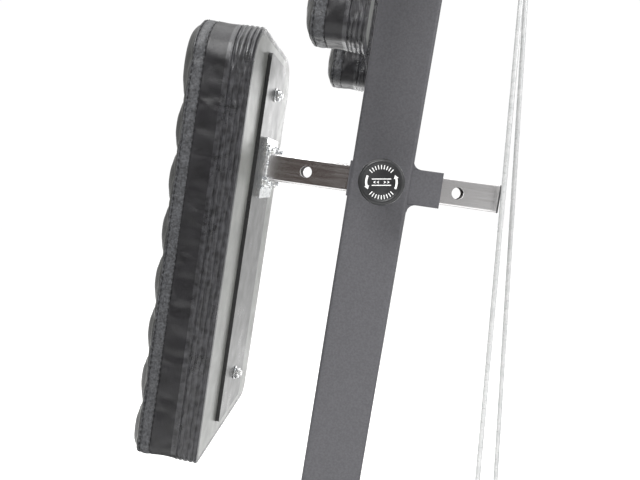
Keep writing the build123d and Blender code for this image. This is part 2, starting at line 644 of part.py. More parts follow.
# ---------------------------------------------------------------- handles
def make_handles():
    for side, name in ((-1, "right"), (1, "left")):
        end = exit_place(side) + Vector(0, side * PULLEY_R, 0) + PULL * handle_offset(side)
        ball = Pos(*(end + PULL * 13)) * Sphere(13)
        ball -= rod(end - PULL * 2, end + PULL * 1.2, CABLE_D + 4)
        shank = rod(end + PULL * 24, end + PULL * (HOOK_LENGTH - 7), 9)
        eye = end + PULL * HOOK_LENGTH
        hook_ring = Plane(eye, x_dir=PULL, z_dir=(0, 1, 0)).location * Torus(9, 2.6)
        nodes["handle_" + name + "_hook"] = ball + shank + hook_ring
        nodes["handle_" + name + "_stirrup"] = stirrup(eye)
        middle = eye + PULL * STIRRUP_REACH
        half = GRIP_LENGTH / 2 - GRIP_END_GAP
        grip = rod(middle - ACROSS * half, middle + ACROSS * half, GRIP_D)
        grip = fillet(grip.edges().filter_by(GeomType.CIRCLE), 5)
        bore = rod(middle - ACROSS * GRIP_LENGTH, middle + ACROSS * GRIP_LENGTH, STIRRUP_ROD + 2 * PIN_FIT)
        nodes["handle_" + name + "_grip"] = grip - bore


def stirrup(eye):
    """Bent steel stirrup: two legs from the eye, and the bar that the grip turns on."""
    middle = eye + PULL * STIRRUP_REACH
    spread = ACROSS * (GRIP_LENGTH / 2 + STIRRUP_ROD / 2)
    apex = eye + PULL * (2.6 + 9 + STIRRUP_ROD / 2)
    shoulder = ACROSS * 14
    frame = rod(middle - spread, middle + spread, STIRRUP_ROD)
    frame += rod(apex - shoulder, apex + shoulder, STIRRUP_ROD)
    for way in (-1, 1):
        start = apex + shoulder * way
        end = middle + spread * way
        knee = end - PULL * (GRIP_D / 2 + 8)
        frame += rod(start, knee, STIRRUP_ROD) + rod(knee, end, STIRRUP_ROD)
        for corner in (start, knee, end):
            frame += Pos(*corner) * Sphere(STIRRUP_ROD / 2)
    return frame


# ---------------------------------------------------------------- chest pad
def pad_bolt(y, z, seat_x):
    """Bolt and nut through the pad's steelwork, the head sunk in the board."""
    head_x = PAD_BACK - 4
    tip = seat_x + NUT_T + THREAD_OUT
    bolt = rod((head_x, y, z), (tip, y, z), M8) + rod((head_x, y, z), (PAD_BACK, y, z), 2 * M8)
    return [bolt, nut((seat_x, y, z), (1, 0, 0), NUT_AF, M8)]


def make_pad():
    low = PAD_LOW
    high = PAD_HIGH
    pad = cushion(PAD_WIDTH, low, high, PAD_THICK_LOW, PAD_THICK_HIGH, PAD_CORNER, PAD_CORNER_LOW, PAD_EDGE)
    nodes["pad_cushion"] = PAD_AT * Pos(PAD_BACK, 0, 0) * pad
    plate_x = PAD_BACK + PLATE_T
    bracket_x = plate_x + BRACKET_T
    bolts = []
    for z in (PLATE_BOLT_LOW, PLATE_BOLT_HIGH):
        bolts += pad_bolt(0, z, plate_x)
    for y in (-BRACKET_BOLT_Y, BRACKET_BOLT_Y):
        for z in (BRACKET_BOLT_DROP - BRACKET_BOLT_Z, BRACKET_BOLT_DROP + BRACKET_BOLT_Z):
            bolts += pad_bolt(y, z, bracket_x)
    backing = Pos(PAD_BACK, 0, 0) * board(PAD_WIDTH, low, high, PAD_CORNER, PAD_CORNER_LOW)
    plate = block(PAD_BACK, plate_x, -PLATE_W / 2, PLATE_W / 2, PLATE_LOW, PLATE_HIGH)
    plate = fillet(plate.edges().filter_by(Axis.X), 6)
    bracket = block(plate_x, bracket_x, -BRACKET_W / 2, BRACKET_W / 2, BRACKET_DROP - BRACKET_H / 2,
                    BRACKET_DROP + BRACKET_H / 2)
    bracket = fillet(bracket.edges().filter_by(Axis.X), 2)
    for body in bolts[::2]:
        backing -= body
        plate -= body
        bracket -= body
    nodes["pad_board"] = PAD_AT * backing
    nodes["pad_plate"] = PAD_AT * plate
    nodes["pad_bracket"] = PAD_AT * bracket
    nodes["pad_bolts"] = PAD_AT * Compound(children=bolts)

    front = PAD_BACK - 20
    length = BAR_REAR - front
    bar = BAR_AT * Pos((BAR_REAR + front) / 2, 0, 0) * along_x(tube(BAR_SIDE, BAR_SIDE, length, BAR_WALL, 3))
    bar -= PAD_AT * block(front - 60, bracket_x, -50, 50, -90, 90)
    for place in (-BAR_PITCH, 0, BAR_PITCH):
        bar -= BAR_AT * rod((place, -BAR_SIDE, 0), (place, BAR_SIDE, 0), LOCK_HOLE_D)
    nodes["pad_bar"] = bar
    lip = extrude(RectangleRounded(BAR_SIDE, BAR_SIDE, 3), 2)
    inside = BAR_SIDE - 2 * BAR_WALL
    plug = Pos(0, 0, -6) * tube(inside, inside, 12, 2, 1.5)
    nodes["pad_bar_end_cap"] = BAR_AT * Pos(BAR_REAR, 0, 0) * along_x(lip + plug)


# ---------------------------------------------------------------- chest pad lock
def make_lock():
    collar_end = -TUBE_W / 2 - COLLAR_LENGTH + COLLAR_END
    flange_y = collar_end + SPRING_SEAT
    shank_end = KNOB_FACE + 6
    pin = lock_hole(shank_end, PIN_TIP, PIN_D)
    pin = chamfer(pin.edges().sort_by(Axis.Y)[-1], 1.5)
    flange = lock_hole(flange_y, flange_y + FLANGE_T, COLLAR_D - 10)
    nodes["lock_pin"] = pin + flange
    wire = 1.1
    turns = 3
    free_height = SPRING_SEAT - wire - 0.6
    coil = Helix(pitch=free_height / turns, height=free_height, radius=PIN_D / 2 + 1.3)
    spring = sweep(Plane(coil @ 0, z_dir=coil % 0) * Circle(wire / 2), path=coil)
    nodes["lock_spring"] = Pos(KNOB_X, flange_y - wire / 2 - 0.3, KNOB_Z) * Rot(90, 0, 0) * spring
    back = KNOB_FACE + KNOB_T
    knob = rod((KNOB_X, KNOB_FACE, KNOB_Z), (KNOB_X, back, KNOB_Z), KNOB_D)
    knob = fillet(knob.edges().sort_by(Axis.Y)[0], 3)
    knob = fillet(knob.edges().sort_by(Axis.Y)[-1], 6)
    hub = rod((KNOB_X, back, KNOB_Z), (KNOB_X, back + KNOB_HUB_T, KNOB_Z), 24)
    nodes["lock_knob"] = knob + hub - lock_hole(shank_end, 0, PIN_D + 2 * PIN_FIT)


# ---------------------------------------------------------------- upper cushions
def make_upper():
    width = UPPER_OUT - UPPER_IN
    front = UPRIGHT_SHIFT - TUBE_D / 2
    high = UPPER_LOW + UPPER_LENGTH
    arms = []
    boards = []
    bolts = []
    for side, name in ((-1, "right"), (1, "left")):
        middle = side * (UPPER_IN + UPPER_OUT) / 2
        at = UPRIGHT_AT * Pos(front, middle, 0)
        pad = cushion(width, UPPER_LOW, high, UPPER_THICK, UPPER_THICK, UPPER_CORNER, UPPER_CORNER, 12)
        nodes["upper_pad_cushion_" + name] = at * pad
        arm_length = UPPER_OUT - 12 - TUBE_W / 2
        arm_y = side * (TUBE_W / 2 + arm_length / 2)
        arm = Pos(front + ARM_SIDE / 2, arm_y, ARM_Z) * along_y(tube(ARM_SIDE, ARM_SIDE, arm_length, 2.5, 4))
        back = Pos(front, middle, 0) * board(width, UPPER_LOW, high, UPPER_CORNER, UPPER_CORNER)
        for y in (middle - 18, middle + 18):
            shank = rod((front - 11, y, ARM_Z), (front + ARM_SIDE, y, ARM_Z), M8)
            bolt = shank + hexagon((front + ARM_SIDE, y, ARM_Z), (1, 0, 0), NUT_AF, 5)
            arm -= shank
            back -= shank
            bolts.append(UPRIGHT_AT * bolt)
        arms.append(UPRIGHT_AT * arm)
        boards.append(UPRIGHT_AT * back)
    nodes["upper_pad_arms"] = Compound(children=arms)
    nodes["upper_pad_boards"] = Compound(children=boards)
    nodes["upper_pad_bolts"] = Compound(children=bolts)


# ---------------------------------------------------------------- foot rest and handle rests
def make_foot_rest():
    span = 2 * (FOOT_PLATE_Y + FOOT_PLATE_W / 2)
    top = BEAM_TOP + TUBE_W
    bar = Pos(FOOT_TUBE_X, 0, BEAM_TOP + TUBE_W / 2) * along_y(tube(TUBE_W, TUBE_W, span))
    slope = Vector(cos(radians(FOOT_PLATE_ANGLE)), 0, sin(radians(FOOT_PLATE_ANGLE)))
    corner = Vector(FOOT_TUBE_X - TUBE_W / 2, 0, top)
    plates = []
    ribs = []
    for side in (-1, 1):
        y = side * FOOT_PLATE_Y
        plate_middle = corner + Vector(0, y, 0) + slope * (FOOT_PLATE_L / 2 - 30)
        at = Plane(plate_middle, x_dir=(0, 1, 0), z_dir=slope.cross(Vector(0, 1, 0)))
        outline = at * RectangleRounded(FOOT_PLATE_W, FOOT_PLATE_L, 16)
        plates.append(extrude(outline, FOOT_PLATE_T if at.z_dir.X < 0 else -FOOT_PLATE_T))
        reach = corner + slope * 130
        rib = Plane.XZ * Polygon((corner.X, top), (corner.X + TUBE_W - 6, top), (reach.X, reach.Z),
                                 align=None)
        ribs.append(Pos(0, y, 0) * extrude(rib, 3, both=True))
    nodes["foot_rest_plates"] = Compound(children=plates)

    rest_bar = block(REST_X - REST_TUBE / 2, REST_X + REST_TUBE / 2, -HANDLE_Y - 12, HANDLE_Y + 12, BEAM_TOP,
                     BEAM_TOP + REST_TUBE)
    for side in (-1, 1):
        y = side * HANDLE_Y
        leg_low = handle_leg_height(REST_X)
        seat_z = leg_low - 3
        rest_bar += rod((REST_X, y, BEAM_TOP + REST_TUBE), (REST_X, y, seat_z - 8), 16)
        rest_bar += block(REST_X - 20, REST_X + 20, y - 12, y + 12, seat_z - 12, seat_z - 6)
        for edge in (-1, 1):
            low_y = y + edge * 12
            high_y = low_y - edge * 4
            rest_bar += block(REST_X - 20, REST_X + 20, min(low_y, high_y), max(low_y, high_y), seat_z - 12,
                              seat_z + 6)
    nodes["foot_rest_frame"] = Compound(children=[bar] + ribs + [rest_bar])


def handle_leg_height(x):
    """Height of the underside of the stirrup's lower leg above a point of the floor."""
    end = exit_place(-1) + PULL * handle_offset(-1)
    eye = end + PULL * HOOK_LENGTH
    start = eye + PULL * (11.6 + STIRRUP_ROD / 2) - ACROSS * 14
    stop = eye + PULL * STIRRUP_REACH - ACROSS * (GRIP_LENGTH / 2 + STIRRUP_ROD / 2)
    share = (x - start.X) / (stop.X - start.X)
    slope = hypot(stop.X - start.X, stop.Z - start.Z) / abs(stop.X - start.X)
    return start.Z + share * (stop.Z - start.Z) - slope * STIRRUP_ROD / 2


# ---------------------------------------------------------------- seat
def seat_sleeve_side():
    return SEAT_POST + 2 * SEAT_GAP + 2 * TUBE_WALL


def make_seat():
    side = seat_sleeve_side()
    height = SEAT_SLEEVE_TOP - BEAM_TOP
    sleeve = Pos(SEAT_X, 0, BEAM_TOP + height / 2) * tube(side, side, height, TUBE_WALL, TUBE_R)
    pin_hole = rod((SEAT_X, -side, SEAT_PIN_Z), (SEAT_X, 0, SEAT_PIN_Z), SEAT_PIN_D + 2 * PIN_CLEAR)
    nodes["seat_post_sleeve"] = sleeve - pin_hole
    post_height = SEAT_PLATE_Z - SEAT_POST_LOW
    post = Pos(SEAT_X, 0, SEAT_POST_LOW + post_height / 2) * tube(SEAT_POST, SEAT_POST, post_height, 2.5, 2.5)
    for i in range(SEAT_HOLES):
        z = SEAT_PIN_Z - i * SEAT_HOLE_PITCH
        post -= rod((SEAT_X, -SEAT_POST, z), (SEAT_X, 0, z), SEAT_PIN_D + 1)
    half = SEAT_PLATE_SIDE / 2
    plate = block(SEAT_X - half, SEAT_X + half, -half, half, SEAT_PLATE_Z, SEAT_PLATE_Z + BRACKET_T)
    plate = fillet(plate.edges().filter_by(Axis.Z), 12)
    board_z = SEAT_PLATE_Z + BRACKET_T
    lay = Location((SEAT_X, 0, board_z), (0, 90, 0))
    half_length = SEAT_LENGTH / 2
    pad = lay * cushion(SEAT_WIDTH, -half_length, half_length, SEAT_CUSHION_T, SEAT_CUSHION_T, 45, 45, 16)
    base = lay * board(SEAT_WIDTH, -half_length, half_length, 45, 45)
    bolts = []
    for x in (-70, 70):
        for y in (-70, 70):
            place = (SEAT_X + x, y)
            shank = rod((*place, SEAT_PLATE_Z), (*place, board_z + 10), M8)
            bolts.append(shank + hexagon((*place, SEAT_PLATE_Z), (0, 0, -1), NUT_AF, 5))
            plate -= shank
            base -= shank
    nodes["seat_post"] = post + plate
    nodes["seat_board"] = base
    nodes["seat_cushion"] = pad
    nodes["seat_bolts"] = Compound(children=bolts)
    face = -side / 2
    tip = -SEAT_POST / 2 - 1.5
    pin = rod((SEAT_X, face - 52, SEAT_PIN_Z), (SEAT_X, tip, SEAT_PIN_Z), SEAT_PIN_D)
    knob = rod((SEAT_X, face - 62, SEAT_PIN_Z), (SEAT_X, face - 40, SEAT_PIN_Z), 40)
    knob = fillet(knob.edges().filter_by(GeomType.CIRCLE), 4)
    nodes["seat_lock_pin"] = pin + knob


def main():
    os.makedirs("parts", exist_ok=True)
    for make in (make_base, make_upright, make_collars, make_top, make_stack, make_low_frame, make_pulleys,
                 make_cables, make_handles, make_pad, make_lock, make_upper, make_foot_rest, make_seat):
        make()
    for name, shape in nodes.items():
        export_step(shape, "parts/" + name + ".step")


main()
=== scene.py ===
"""Looks of the seated cable row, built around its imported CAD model. Metres, +Z up, the user sits at -X."""

import math

import bmesh
import bpy
import numpy as np
from mathutils import Matrix, Vector, noise


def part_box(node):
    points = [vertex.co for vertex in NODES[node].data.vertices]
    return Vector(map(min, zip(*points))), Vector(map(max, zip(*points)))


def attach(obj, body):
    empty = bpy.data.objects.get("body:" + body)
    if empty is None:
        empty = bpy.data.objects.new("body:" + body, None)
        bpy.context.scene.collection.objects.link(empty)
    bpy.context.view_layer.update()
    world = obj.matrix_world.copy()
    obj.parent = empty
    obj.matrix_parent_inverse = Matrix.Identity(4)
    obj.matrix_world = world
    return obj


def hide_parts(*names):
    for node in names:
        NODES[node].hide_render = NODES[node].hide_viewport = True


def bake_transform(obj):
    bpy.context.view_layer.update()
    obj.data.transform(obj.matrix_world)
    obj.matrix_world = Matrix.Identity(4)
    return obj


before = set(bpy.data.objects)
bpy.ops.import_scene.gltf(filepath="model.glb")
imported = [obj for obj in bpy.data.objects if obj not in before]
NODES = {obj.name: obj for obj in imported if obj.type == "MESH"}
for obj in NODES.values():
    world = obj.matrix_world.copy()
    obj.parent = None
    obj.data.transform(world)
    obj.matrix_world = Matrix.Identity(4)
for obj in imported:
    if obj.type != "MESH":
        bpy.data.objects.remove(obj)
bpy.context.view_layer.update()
MM = 0.001


# ---------------------------------------------------------------- places taken from the frame
def middle(node):
    """Centre of a CAD node's box."""
    low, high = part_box(node)
    return (low + high) / 2


def tilted(origin, degrees):
    """Frame at origin, leaning by degrees about Y."""
    return Matrix.Translation(origin) @ Matrix.Rotation(math.radians(degrees), 4, "Y")


RAKE = 9.0                       # upright and chest pad lean, top towards the stack
BAR_TILT = 8.1                   # chest pad bar, rear end low
PULL_ANGLE = math.radians(40.0)  # handles' pull above the horizontal
PULL = Vector((-math.cos(PULL_ANGLE), 0, math.sin(PULL_ANGLE)))
ACROSS = Vector((math.sin(PULL_ANGLE), 0, math.cos(PULL_ANGLE)))
UP = Vector((0, 0, 1))
KNOB = Vector((middle("lock_knob").x, 0, middle("lock_knob").z))
PAD_FRAME = tilted(KNOB, RAKE)
BAR_FRAME = tilted(KNOB, BAR_TILT)
UPRIGHT_SHIFT = -1.4 * MM
TUBE_D = 76.2 * MM
TUBE_W = 50.8 * MM


# ---------------------------------------------------------------- material helpers
class Shader:
    """One node material on the object's own coordinates, with short calls for the usual nodes."""

    def __init__(self, name, **values):
        self.material = bpy.data.materials.new(name)
        self.material.use_nodes = True
        self.tree = self.material.node_tree
        self.bsdf = self.tree.nodes["Principled BSDF"]
        self.coords = self.tree.nodes.new("ShaderNodeTexCoord").outputs["Object"]
        for socket, value in values.items():
            self.bsdf.inputs[socket.replace("_", " ")].default_value = value

    def add(self, kind, **links):
        """A node of this kind, with its named sockets linked or set."""
        node = self.tree.nodes.new(kind)
        for socket, value in links.items():
            self.put(node.inputs[socket.replace("_", " ")], value)
        return node

    def put(self, socket, value):
        if isinstance(value, bpy.types.NodeSocket):
            self.tree.links.new(value, socket)
        else:
            socket.default_value = value

    def stretched(self, scale, degrees=0.0):
        """Coordinates turned about Y, then scaled along each axis."""
        turn = self.add("ShaderNodeMapping", Vector=self.coords, Rotation=(0, math.radians(degrees), 0))
        return self.add("ShaderNodeMapping", Vector=turn.outputs[0], Scale=scale).outputs[0]

    def noise(self, scale, detail=3.0, coords=None, roughness=0.5):
        node = self.add("ShaderNodeTexNoise", Vector=coords or self.coords, Scale=scale, Detail=detail)
        node.inputs["Roughness"].default_value = roughness
        return node.outputs["Fac"]

    def cells(self, scale, feature="F1"):
        node = self.add("ShaderNodeTexVoronoi", Vector=self.coords, Scale=scale)
        node.feature = feature
        return node.outputs["Distance"]

    def spread(self, factor, low, high, start=0.3, stop=0.7):
        """Factor from start to stop becomes low to high."""
        node = self.add("ShaderNodeMapRange", Value=factor)
        for socket, value in zip(("From Min", "From Max", "To Min", "To Max"), (start, stop, low, high)):
            node.inputs[socket].default_value = value
        return node.outputs[0]

    def blend(self, factor, first, second):
        node = self.tree.nodes.new("ShaderNodeMix")
        node.data_type = "RGBA"
        self.put(node.inputs["Factor"], factor)
        self.put(node.inputs["A"], (*first, 1) if isinstance(first, tuple) else first)
        self.put(node.inputs["B"], (*second, 1) if isinstance(second, tuple) else second)
        return node.outputs["Result"]

    def colour(self, factor, first, second, start=0.35, stop=0.65):
        """Base colour from first to second along a factor."""
        link = self.blend(self.spread(factor, 0, 1, start, stop), first, second)
        self.put(self.bsdf.inputs["Base Color"], link)
        return link

    def rough(self, factor, low, high, start=0.3, stop=0.7):
        self.put(self.bsdf.inputs["Roughness"], self.spread(factor, low, high, start, stop))

    def bump(self, *layers):
        """Bump layers, each a height, a distance in metres and a strength."""
        normal = None
        for height, distance, strength in layers:
            node = self.add("ShaderNodeBump", Height=height, Distance=distance, Strength=strength)
            if normal is not None:
                self.put(node.inputs["Normal"], normal)
            normal = node.outputs["Normal"]
        self.put(self.bsdf.inputs["Normal"], normal)
        return self.material


# ---------------------------------------------------------------- materials
def powder_coat():
    s = Shader("powder_coat", Metallic=0.15, Specular_IOR_Level=0.4)
    cloud = s.noise(9, 4)
    fine = s.noise(1400, 2)
    s.colour(s.noise(420, 6), (0.086, 0.085, 0.092), (0.106, 0.105, 0.114))
    s.rough(cloud, 0.46, 0.56)
    return s.bump((fine, 0.2 * MM, 0.3), (s.cells(900), 0.12 * MM, 0.25))


def vinyl(name, dark, light, rough_low, rough_high, grain, gloss=0.38, mottle=60):
    s = Shader(name, Specular_IOR_Level=gloss, Coat_Weight=0.10, Coat_Roughness=0.22)
    s.colour(s.noise(mottle, 5), dark, light)
    s.rough(s.noise(35, 5), rough_low, rough_high)
    crease = s.noise(150, 6, s.stretched((1.0, 1.0, 0.35)), 0.65)
    return s.bump((s.cells(620, "DISTANCE_TO_EDGE"), 0.55 * MM, grain), (s.noise(2300, 2), 0.2 * MM, 0.35),
                  (crease, 1.4 * MM, 0.35))


def board_plastic():
    s = Shader("board_plastic", Specular_IOR_Level=0.45, Coat_Weight=0.15, Coat_Roughness=0.3)
    s.colour(s.noise(14, 6), (0.17, 0.175, 0.165), (0.24, 0.245, 0.23))
    s.rough(s.noise(60, 4), 0.30, 0.42)
    return s.bump((s.noise(900, 3), 0.2 * MM, 0.3), (s.noise(18, 2), 1.0 * MM, 0.12))


def plate_paint():
    s = Shader("plate_paint", Specular_IOR_Level=0.55)
    s.colour(s.noise(7, 4, s.stretched((1, 1, 0.2))), (0.014, 0.014, 0.014), (0.026, 0.026, 0.026))
    s.rough(s.noise(40, 5), 0.26, 0.36)
    return s.bump((s.noise(700, 3), 0.15 * MM, 0.3))


def zinc():
    s = Shader("zinc", Metallic=0.95, Specular_IOR_Level=0.5)
    s.colour(s.noise(120, 5), (0.60, 0.62, 0.64), (0.78, 0.78, 0.77))
    s.rough(s.noise(160, 4), 0.14, 0.30)
    return s.bump((s.noise(240, 3), 0.12 * MM, 0.25), (s.cells(180), 0.08 * MM, 0.12))


def brushed_bar():
    s = Shader("brushed_bar", Metallic=1.0, Anisotropic=0.4)
    streaks = s.noise(60, 6, s.stretched((0.5, 9, 9), -BAR_TILT), 0.7)
    s.colour(streaks, (0.60, 0.585, 0.58), (0.68, 0.675, 0.68), 0.2, 0.8)
    s.rough(streaks, 0.17, 0.27)
    return s.bump((streaks, 0.08 * MM, 0.2), (s.noise(320, 3), 0.08 * MM, 0.15))


def chrome():
    s = Shader("chrome", Metallic=1.0)
    s.colour(s.noise(30, 3), (0.70, 0.71, 0.73), (0.78, 0.78, 0.79))
    s.rough(s.noise(90, 5), 0.06, 0.17)
    return s.bump((s.noise(60, 3), 0.4 * MM, 0.12))


def cable_steel():
    s = Shader("cable_steel", Metallic=0.25, Specular_IOR_Level=0.6, Coat_Weight=0.5, Coat_Roughness=0.18)
    s.colour(s.noise(120, 3), (0.50, 0.51, 0.51), (0.60, 0.60, 0.60))
    s.rough(s.noise(300, 4), 0.24, 0.4)
    return s.bump((s.noise(1800, 2), 0.12 * MM, 0.3))


def rubber(name="rubber", dark=(0.012, 0.012, 0.013), light=(0.022, 0.022, 0.023)):
    s = Shader(name, Specular_IOR_Level=0.35)
    s.colour(s.noise(120, 5), dark, light)
    s.rough(s.noise(70, 4), 0.62, 0.82)
    return s.bump((s.noise(900, 3), 0.3 * MM, 0.45))


def moulded(name, dark, light, rough_low=0.3, rough_high=0.44):
    s = Shader(name, Specular_IOR_Level=0.5, Coat_Weight=0.1, Coat_Roughness=0.25)
    s.colour(s.noise(45, 4), dark, light)
    s.rough(s.noise(80, 4), rough_low, rough_high)
    return s.bump((s.noise(1300, 2), 0.15 * MM, 0.3), (s.noise(25, 2), 0.6 * MM, 0.1))


def weight_paint():
    s = Shader("weight_paint", Metallic=0.2, Specular_IOR_Level=0.45)
    s.colour(s.noise(80, 6), (0.020, 0.020, 0.022), (0.040, 0.040, 0.043))
    s.rough(s.noise(45, 5), 0.42, 0.62)
    return s.bump((s.noise(380, 5), 0.5 * MM, 0.5), (s.cells(260), 0.4 * MM, 0.25))


def print_white():
    s = Shader("print_white", Specular_IOR_Level=0.4)
    s.colour(s.noise(500, 4), (0.78, 0.78, 0.78), (0.90, 0.90, 0.89))
    s.rough(s.noise(300, 3), 0.38, 0.55)
    return s.bump((s.noise(900, 2), 0.1 * MM, 0.2))


def thread_black():
    s = Shader("sewing_thread", Specular_IOR_Level=0.35, Sheen_Weight=0.3, Sheen_Roughness=0.4)
    s.colour(s.noise(900, 3), (0.006, 0.006, 0.007), (0.018, 0.018, 0.019))
    s.rough(s.noise(600, 3), 0.6, 0.8)
    return s.bump((s.noise(3500, 2), 0.15 * MM, 0.5))


FINISH = {
    "frame_paint": powder_coat(),
    "vinyl": vinyl("vinyl", (0.0050, 0.0048, 0.0058), (0.0105, 0.0100, 0.0120), 0.34, 0.50, 0.35),
    "board_grey": board_plastic(),
    "plate_grey": plate_paint(),
    "zinc": zinc(),
    "bar": brushed_bar(),
    "chrome": chrome(),
    "cable": cable_steel(),
    "foot_rubber": rubber(),
    "grip_rubber": rubber("grip_rubber", (0.010, 0.010, 0.011), (0.020, 0.020, 0.021)),
    "cap_plastic": moulded("cap_plastic", (0.010, 0.010, 0.011), (0.019, 0.020, 0.021)),
    "liner_plastic": moulded("liner_plastic", (0.055, 0.055, 0.055), (0.085, 0.085, 0.083)),
    "pulley_plastic": moulded("pulley_nylon", (0.016, 0.016, 0.017), (0.030, 0.030, 0.031), 0.34, 0.5),
    "weight_paint": weight_paint(),
}
# Front band vinyl: its lighter base colour is a painted sheen where the band catches the light; its grain
# bump is real.
VINYL_BAND_SHEEN = vinyl("vinyl_grain_and_painted_sheen", (0.012, 0.0125, 0.014), (0.060, 0.062, 0.068), 0.34, 0.52, 1.0, 0.5, 420)
VINYL_FACE = vinyl("vinyl_face", (0.014, 0.0145, 0.0135), (0.028, 0.0285, 0.027), 0.28, 0.42, 0.5, 0.5)
# Folded back band vinyl: its lighter base colour is a painted sheen for the highlights on its ridges.
VINYL_FOLD_SHEEN = vinyl("vinyl_folded_painted_sheen", (0.0060, 0.0060, 0.0070), (0.034, 0.034, 0.038), 0.24, 0.40, 0.4, 0.55,
                   150)
PRINT = print_white()
THREAD = thread_black()

NODE_FINISH = {
    "frame_paint": "base_beam cross_feet upright pad_bar_sleeve lock_collars top_boom rear_column"
                   " guide_rod_plates"
                   " low_pulley_frame foot_rest_frame foot_rest_plates seat_post_sleeve upper_pad_arms",
    "cap_plastic": "tube_end_caps pad_bar_end_cap seat_lock_pin",
    "foot_rubber": "rubber_feet stack_cushions",
    "liner_plastic": "sleeve_liner",
    "chrome": "guide_rods handle_left_stirrup handle_right_stirrup lock_pin seat_post",
    "zinc": "pulley_axles pad_bracket lock_spring upper_pad_bolts seat_bolts floating_pulley_bracket"
            " selector_stem"
            " handle_left_hook handle_right_hook",
    "bar": "pad_bar",
    "board_grey": "pad_board upper_pad_boards seat_board",
    "plate_grey": "pad_plate",
    "weight_paint": "resting_weight_plates lifted_weight_plates top_weight_plate",
    "pulley_plastic": "floating_pulley top_front_pulleys top_rear_pulleys corner_pulley_left"
                      " corner_pulley_right"
                      " exit_pulley_left exit_pulley_right",
    "grip_rubber": "selector_pin",
}


def finish_nodes():
    """Each shown CAD node gets its finish."""
    for finish, names in NODE_FINISH.items():
        for name in names.split():
            node = NODES[name]
            node.data.materials.clear()
            node.data.materials.append(FINISH[finish])


# ---------------------------------------------------------------- mesh helpers
def new_piece(name, vertices, faces, material, smooth=True):
    """Mesh object from plain lists."""
    mesh = bpy.data.meshes.new(name)
    mesh.from_pydata([tuple(v) for v in vertices], [], [tuple(f) for f in faces])
    mesh.validate()
    mesh.materials.append(material)
    piece = bpy.data.objects.new(name, mesh)
    bpy.context.scene.collection.objects.link(piece)
    if smooth:
        for polygon in mesh.polygons:
            polygon.use_smooth = True
    return piece


def sharpen(piece, degrees=35):
    """Smooth shading with edges kept sharp above an angle."""
    mesh = bmesh.new()
    mesh.from_mesh(piece.data)
    for edge in mesh.edges:
        edge.smooth = len(edge.link_faces) != 2 or edge.calc_face_angle(0) < math.radians(degrees)
    mesh.to_mesh(piece.data)
    mesh.free()
    return piece


class Shape:
    """Vertices and faces collected from several closed forms."""

    def __init__(self):
        self.vertices = []
        self.faces = []

    def loops(self, rings, closed_ends=True, ring_of_rings=False):
        """Skin over rings of equal count, outward if each ring turns left about the direction of travel."""
        first = len(self.vertices)
        count = len(rings[0])
        for ring in rings:
            self.vertices.extend(ring)
        steps = len(rings) if ring_of_rings else len(rings) - 1
        for i in range(steps):
            low = first + i * count
            high = first + (i + 1) % len(rings) * count
            for j in range(count):
                k = (j + 1) % count
                self.faces.append((low + j, low + k, high + k, high + j))
        if closed_ends and not ring_of_rings:
            last = first + (len(rings) - 1) * count
            self.faces.append(tuple(range(first + count - 1, first - 1, -1)))
            self.faces.append(tuple(range(last, last + count)))

    def lathe(self, profile, at, segments=48, radius=None, closed=True):
        """Profile of (height, radius) turned about at's own Z axis. radius may change it with the angle."""
        rings = []
        for height, size in profile:
            ring = []
            for j in range(segments):
                angle = 2 * math.pi * j / segments
                reach = radius(size, angle, height) if radius else size
                ring.append(at @ Vector((reach * math.cos(angle), reach * math.sin(angle), height)))
            rings.append(ring)
        self.loops(rings, closed_ends=closed)

    def piece(self, name, material):
        return sharpen(new_piece(name, self.vertices, self.faces, material))


def facing(origin, axis):
    """Frame at origin with its Z along axis."""
    return Matrix.Translation(origin) @ Vector(axis).to_track_quat("Z", "Y").to_matrix().to_4x4()


def sides_along(points, closed=False):
    """Tangent, side and normal at each point, carried along without twist."""
    count = len(points)
    frames = []
    side = None
    for i in range(count):
        ahead = points[(i + 1) % count] if closed or i < count - 1 else points[i]
        behind = points[i - 1] if closed or i > 0 else points[i]
        tangent = (ahead - behind).normalized()
        if side is None:
            side = tangent.orthogonal().normalized()
        side = (side - tangent * side.dot(tangent)).normalized()
        frames.append((tangent, side, tangent.cross(side)))
    return frames


def swept(points, radius, segments=10, twist=0.0, lobes=0, depth=0.0, ripple=None, closed=False):
    """Tube along points. Lobes make a laid rope, ripple(i) scales the radius at a point."""
    shape = Shape()
    rings = []
    travelled = 0.0
    for i, (tangent, side, normal) in enumerate(sides_along(points, closed)):
        if i:
            travelled += (points[i] - points[i - 1]).length
        size = radius * (ripple(i) if ripple else 1.0)
        ring = []
        for j in range(segments):
            angle = 2 * math.pi * j / segments
            phase = lobes * (angle - twist * travelled)
            reach = size - depth * (1 - abs(math.cos(phase / 2))) if lobes else size
            ring.append(points[i] + side * (reach * math.cos(angle)) + normal * (reach * math.sin(angle)))
        rings.append(ring)
    shape.loops(rings, closed_ends=not closed, ring_of_rings=closed)
    return shape


def stitch_line(shape, points, outward, length, gap, radius):
    """Short threads laid along a line of points, bowed a little outward."""
    distances = [0.0]
    for a, b in zip(points, points[1:]):
        distances.append(distances[-1] + (b - a).length)
    total = distances[-1]
    count = max(1, int(total / (length + gap)))
    pitch = total / count

    def place(s):
        i = min(np.searchsorted(distances, s, side="right"), len(points) - 1)
        span = distances[i] - distances[i - 1] or 1.0
        share = (s - distances[i - 1]) / span
        return points[i - 1].lerp(points[i], share), outward[i - 1].lerp(outward[i], share).normalized()

    for n in range(count):
        start = n * pitch + gap / 2
        path = []
        for k in range(5):
            point, normal = place(start + length * k / 4)
            path.append(point + normal * radius * (0.9 * math.sin(math.pi * k / 4) - 0.2))
        part = swept(path, radius, 6, ripple=lambda i: (0.45, 0.95, 1.0, 0.95, 0.45)[i])
        base = len(shape.vertices)
        shape.vertices.extend(part.vertices)
        shape.faces.extend(tuple(base + v for v in face) for face in part.faces)


